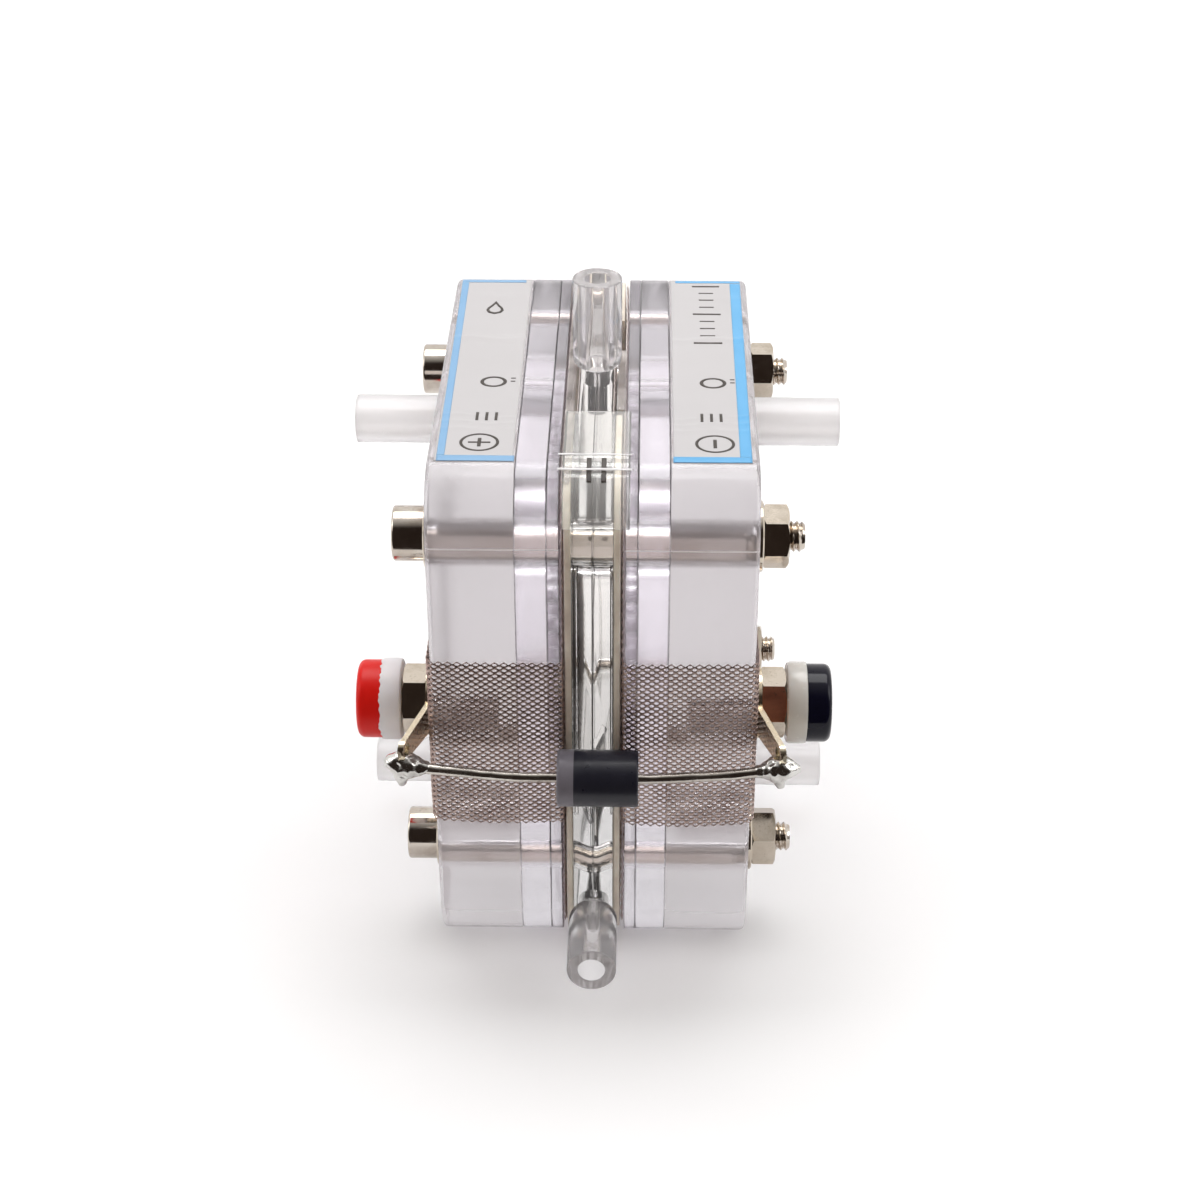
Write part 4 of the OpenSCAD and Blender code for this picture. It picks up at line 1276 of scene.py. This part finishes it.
# Solder is poured from balls that melt together, then gets its dents
def makeSolder(name, side):
    d = diode
    data = bpy.data.metaballs.new("pour" + name)
    data.resolution = data.render_resolution = d["ballGrid"]
    data.threshold = d["ballThreshold"]
    obj = addObject("pour" + name, data)
    for dx, dy, dz, r in d[name]:
        ball = data.elements.new()
        ball.co = (side * (d["holeX"] + dx), d["holeY"] + dy, d["holeZ"] + dz)
        ball.radius = r
        ball.stiffness = d["ballStiffness"]
    bpy.context.view_layer.update()
    poured = obj.evaluated_get(bpy.context.evaluated_depsgraph_get())
    bm = bmesh.new()
    bm.from_mesh(poured.to_mesh())
    poured.to_mesh_clear()
    bpy.data.objects.remove(obj)
    bpy.data.metaballs.remove(data)
    bm.normal_update()
    for v in bm.verts:
        dents = 0.20 * min(0, 0.45 - abs(noise.noise(v.co * 0.75)) * 2.2)
        v.co += v.normal * (dents + noise.noise(v.co * 1.2) * 0.09 + noise.noise(v.co * 3.4) * 0.025)
    for face in bm.faces:
        face.smooth = True
    print("solder", name, len(bm.verts))
    finishPiece("solder_joint_" + name, bm, "tin", "solder_tin", 80)


makeDiode()
makeLeads()
for name, side in leftRight:
    makeSolder(name, side)
print("diode and solder made")


# CAD nodes whose shape is right get their finish
finishOf = {
    "socket_bush": "bushMetal", "solder_lug": "lugBrass", "diffusion_felt": "feltGrey",
    "outer_catalyst": "catalystBlack", "inner_catalyst": "catalystBlack", "membrane": "membraneFilm",
}
for kind, finish in finishOf.items():
    for name, side in leftRight:
        kept = nodes[kind + "_" + name].data.materials
        kept.clear()
        kept.append(finishes[finish])


# Floor, light and world
studio = {
    "floorSize": 6,
    "tableFront": 0.09,      # how far the table reaches in front, outside the picture
    "paper": ((0.86, 0.86, 0.86), (0.84, 0.84, 0.84)),
    "paperThrough": (0.26, 0.255, 0.27),
    "floorGlow": 0.19,       # added white where the camera looks straight at the floor
    "farGlow": 0.8,          # more of it far behind the object, where the lamps don't reach
    "farRange": (0.45, 1.4),
    "throughGlow": 0.86,     # the same for what is seen through the clear plates
    "paintedShadowGlow": 0.72,       # painted shadow: share of that glow left right under the stack
    "paintedShadowRange": (0.018, 0.045),
    "ambient": (0.58, 0.57, 0.57),
    "ambientFront": (0.30, 0.26, 0.24),
    "mirrored": (0.9, 0.88, 0.86),
    "mirroredFront": (0.025, 0.018, 0.015),
    "frontRange": (-0.6, 0.15),
    "seenThrough": (0.90, 0.875, 0.915),
    "aim": (0, 0, 0.03),
    # place, size and power of each lamp
    "lamps": {
        "topLamp": ((0, 0.30, 0.85), (0.9, 0.5), 5.5),
        "leftLamp": ((-0.8, -0.1, 0.5), (0.4, 0.5), 1.2),
        "rightLamp": ((0.8, -0.1, 0.5), (0.4, 0.5), 1.2),
    },
}


def makeFloor():
    s = studio
    half, front = s["floorSize"] / 2, -s["tableFront"]
    mesh = bpy.data.meshes.new("floor")
    corners = [(-half, front, 0), (half, front, 0), (half, half, 0), (-half, half, 0)]
    mesh.from_pydata(corners, [], [(0, 1, 2, 3)])
    tree, shader = startFinish("floorPaper")
    path = addNode(tree, "LightPath")
    through = path.outputs["Is Transmission Ray"]
    paper = mixColour(tree, noiseOf(tree, grains["paper"], 3), *s["paper"])
    away = addNode(tree, "VectorMath", {"Vector": placeOf(tree, (1, 0.6, 1))}, operation="LENGTH")
    away = away.outputs["Value"]
    # painted shadow: the floor seen through the clear plates glows less right under the stack
    paintedShadow = span(tree, away, s["paintedShadowGlow"], 1, *s["paintedShadowRange"])
    far = span(tree, away, s["floorGlow"], s["farGlow"], *s["farRange"])
    fill(tree, shader, {
        "Base Color": mixColour(tree, through, paper, s["paperThrough"]),
        "Roughness": 0.9,
        "Specular IOR Level": 0.1,
        "Emission Color": (1, 1, 1),
        "Emission Strength": combine(tree, "MAXIMUM",
            combine(tree, "MULTIPLY", path.outputs["Is Camera Ray"], far),
            combine(tree, "MULTIPLY", through, s["throughGlow"], paintedShadow)),
    })
    mesh.materials.append(finishes["floorPaper"])
    addObject("floor", mesh)


# The surroundings have one colour each for the camera, for mirrors, for clear plastic and for shading
def makeWorld():
    world = bpy.data.worlds.new("studio")
    bpy.context.scene.world = world
    world.use_nodes = True
    tree = world.node_tree
    coords = addNode(tree, "TexCoord")
    split = addNode(tree, "SeparateXYZ", {"Vector": coords.outputs["Generated"]})
    front = span(tree, split.outputs["Y"], 1, 0, *studio["frontRange"])
    path = addNode(tree, "LightPath")
    through = path.outputs["Is Transmission Ray"]
    mirror = combine(tree, "MULTIPLY", path.outputs["Is Glossy Ray"], combine(tree, "SUBTRACT", 1.0, through))
    shading = mixColour(tree, front, studio["ambient"], studio["ambientFront"])
    seen = mixColour(tree, path.outputs["Is Camera Ray"], shading, (1, 1, 1))
    seen = mixColour(tree, through, seen, studio["seenThrough"])
    seen = mixColour(tree, mirror, seen, mixColour(tree, front, studio["mirrored"], studio["mirroredFront"]))
    fill(tree, tree.nodes["Background"], {"Color": seen, "Strength": 1})


def addLamps():
    for name, (place, size, power) in studio["lamps"].items():
        lamp = bpy.data.lights.new(name, "AREA")
        lamp.shape = "RECTANGLE"
        lamp.size, lamp.size_y = size
        lamp.energy = power
        obj = addObject(name, lamp)
        obj.location = place
        obj.rotation_euler = (Vector(studio["aim"]) - Vector(place)).to_track_quat("-Z", "Y").to_euler()


makeFloor()
makeWorld()
addLamps()
bpy.context.scene.view_settings.view_transform = "Standard"
print("studio made")
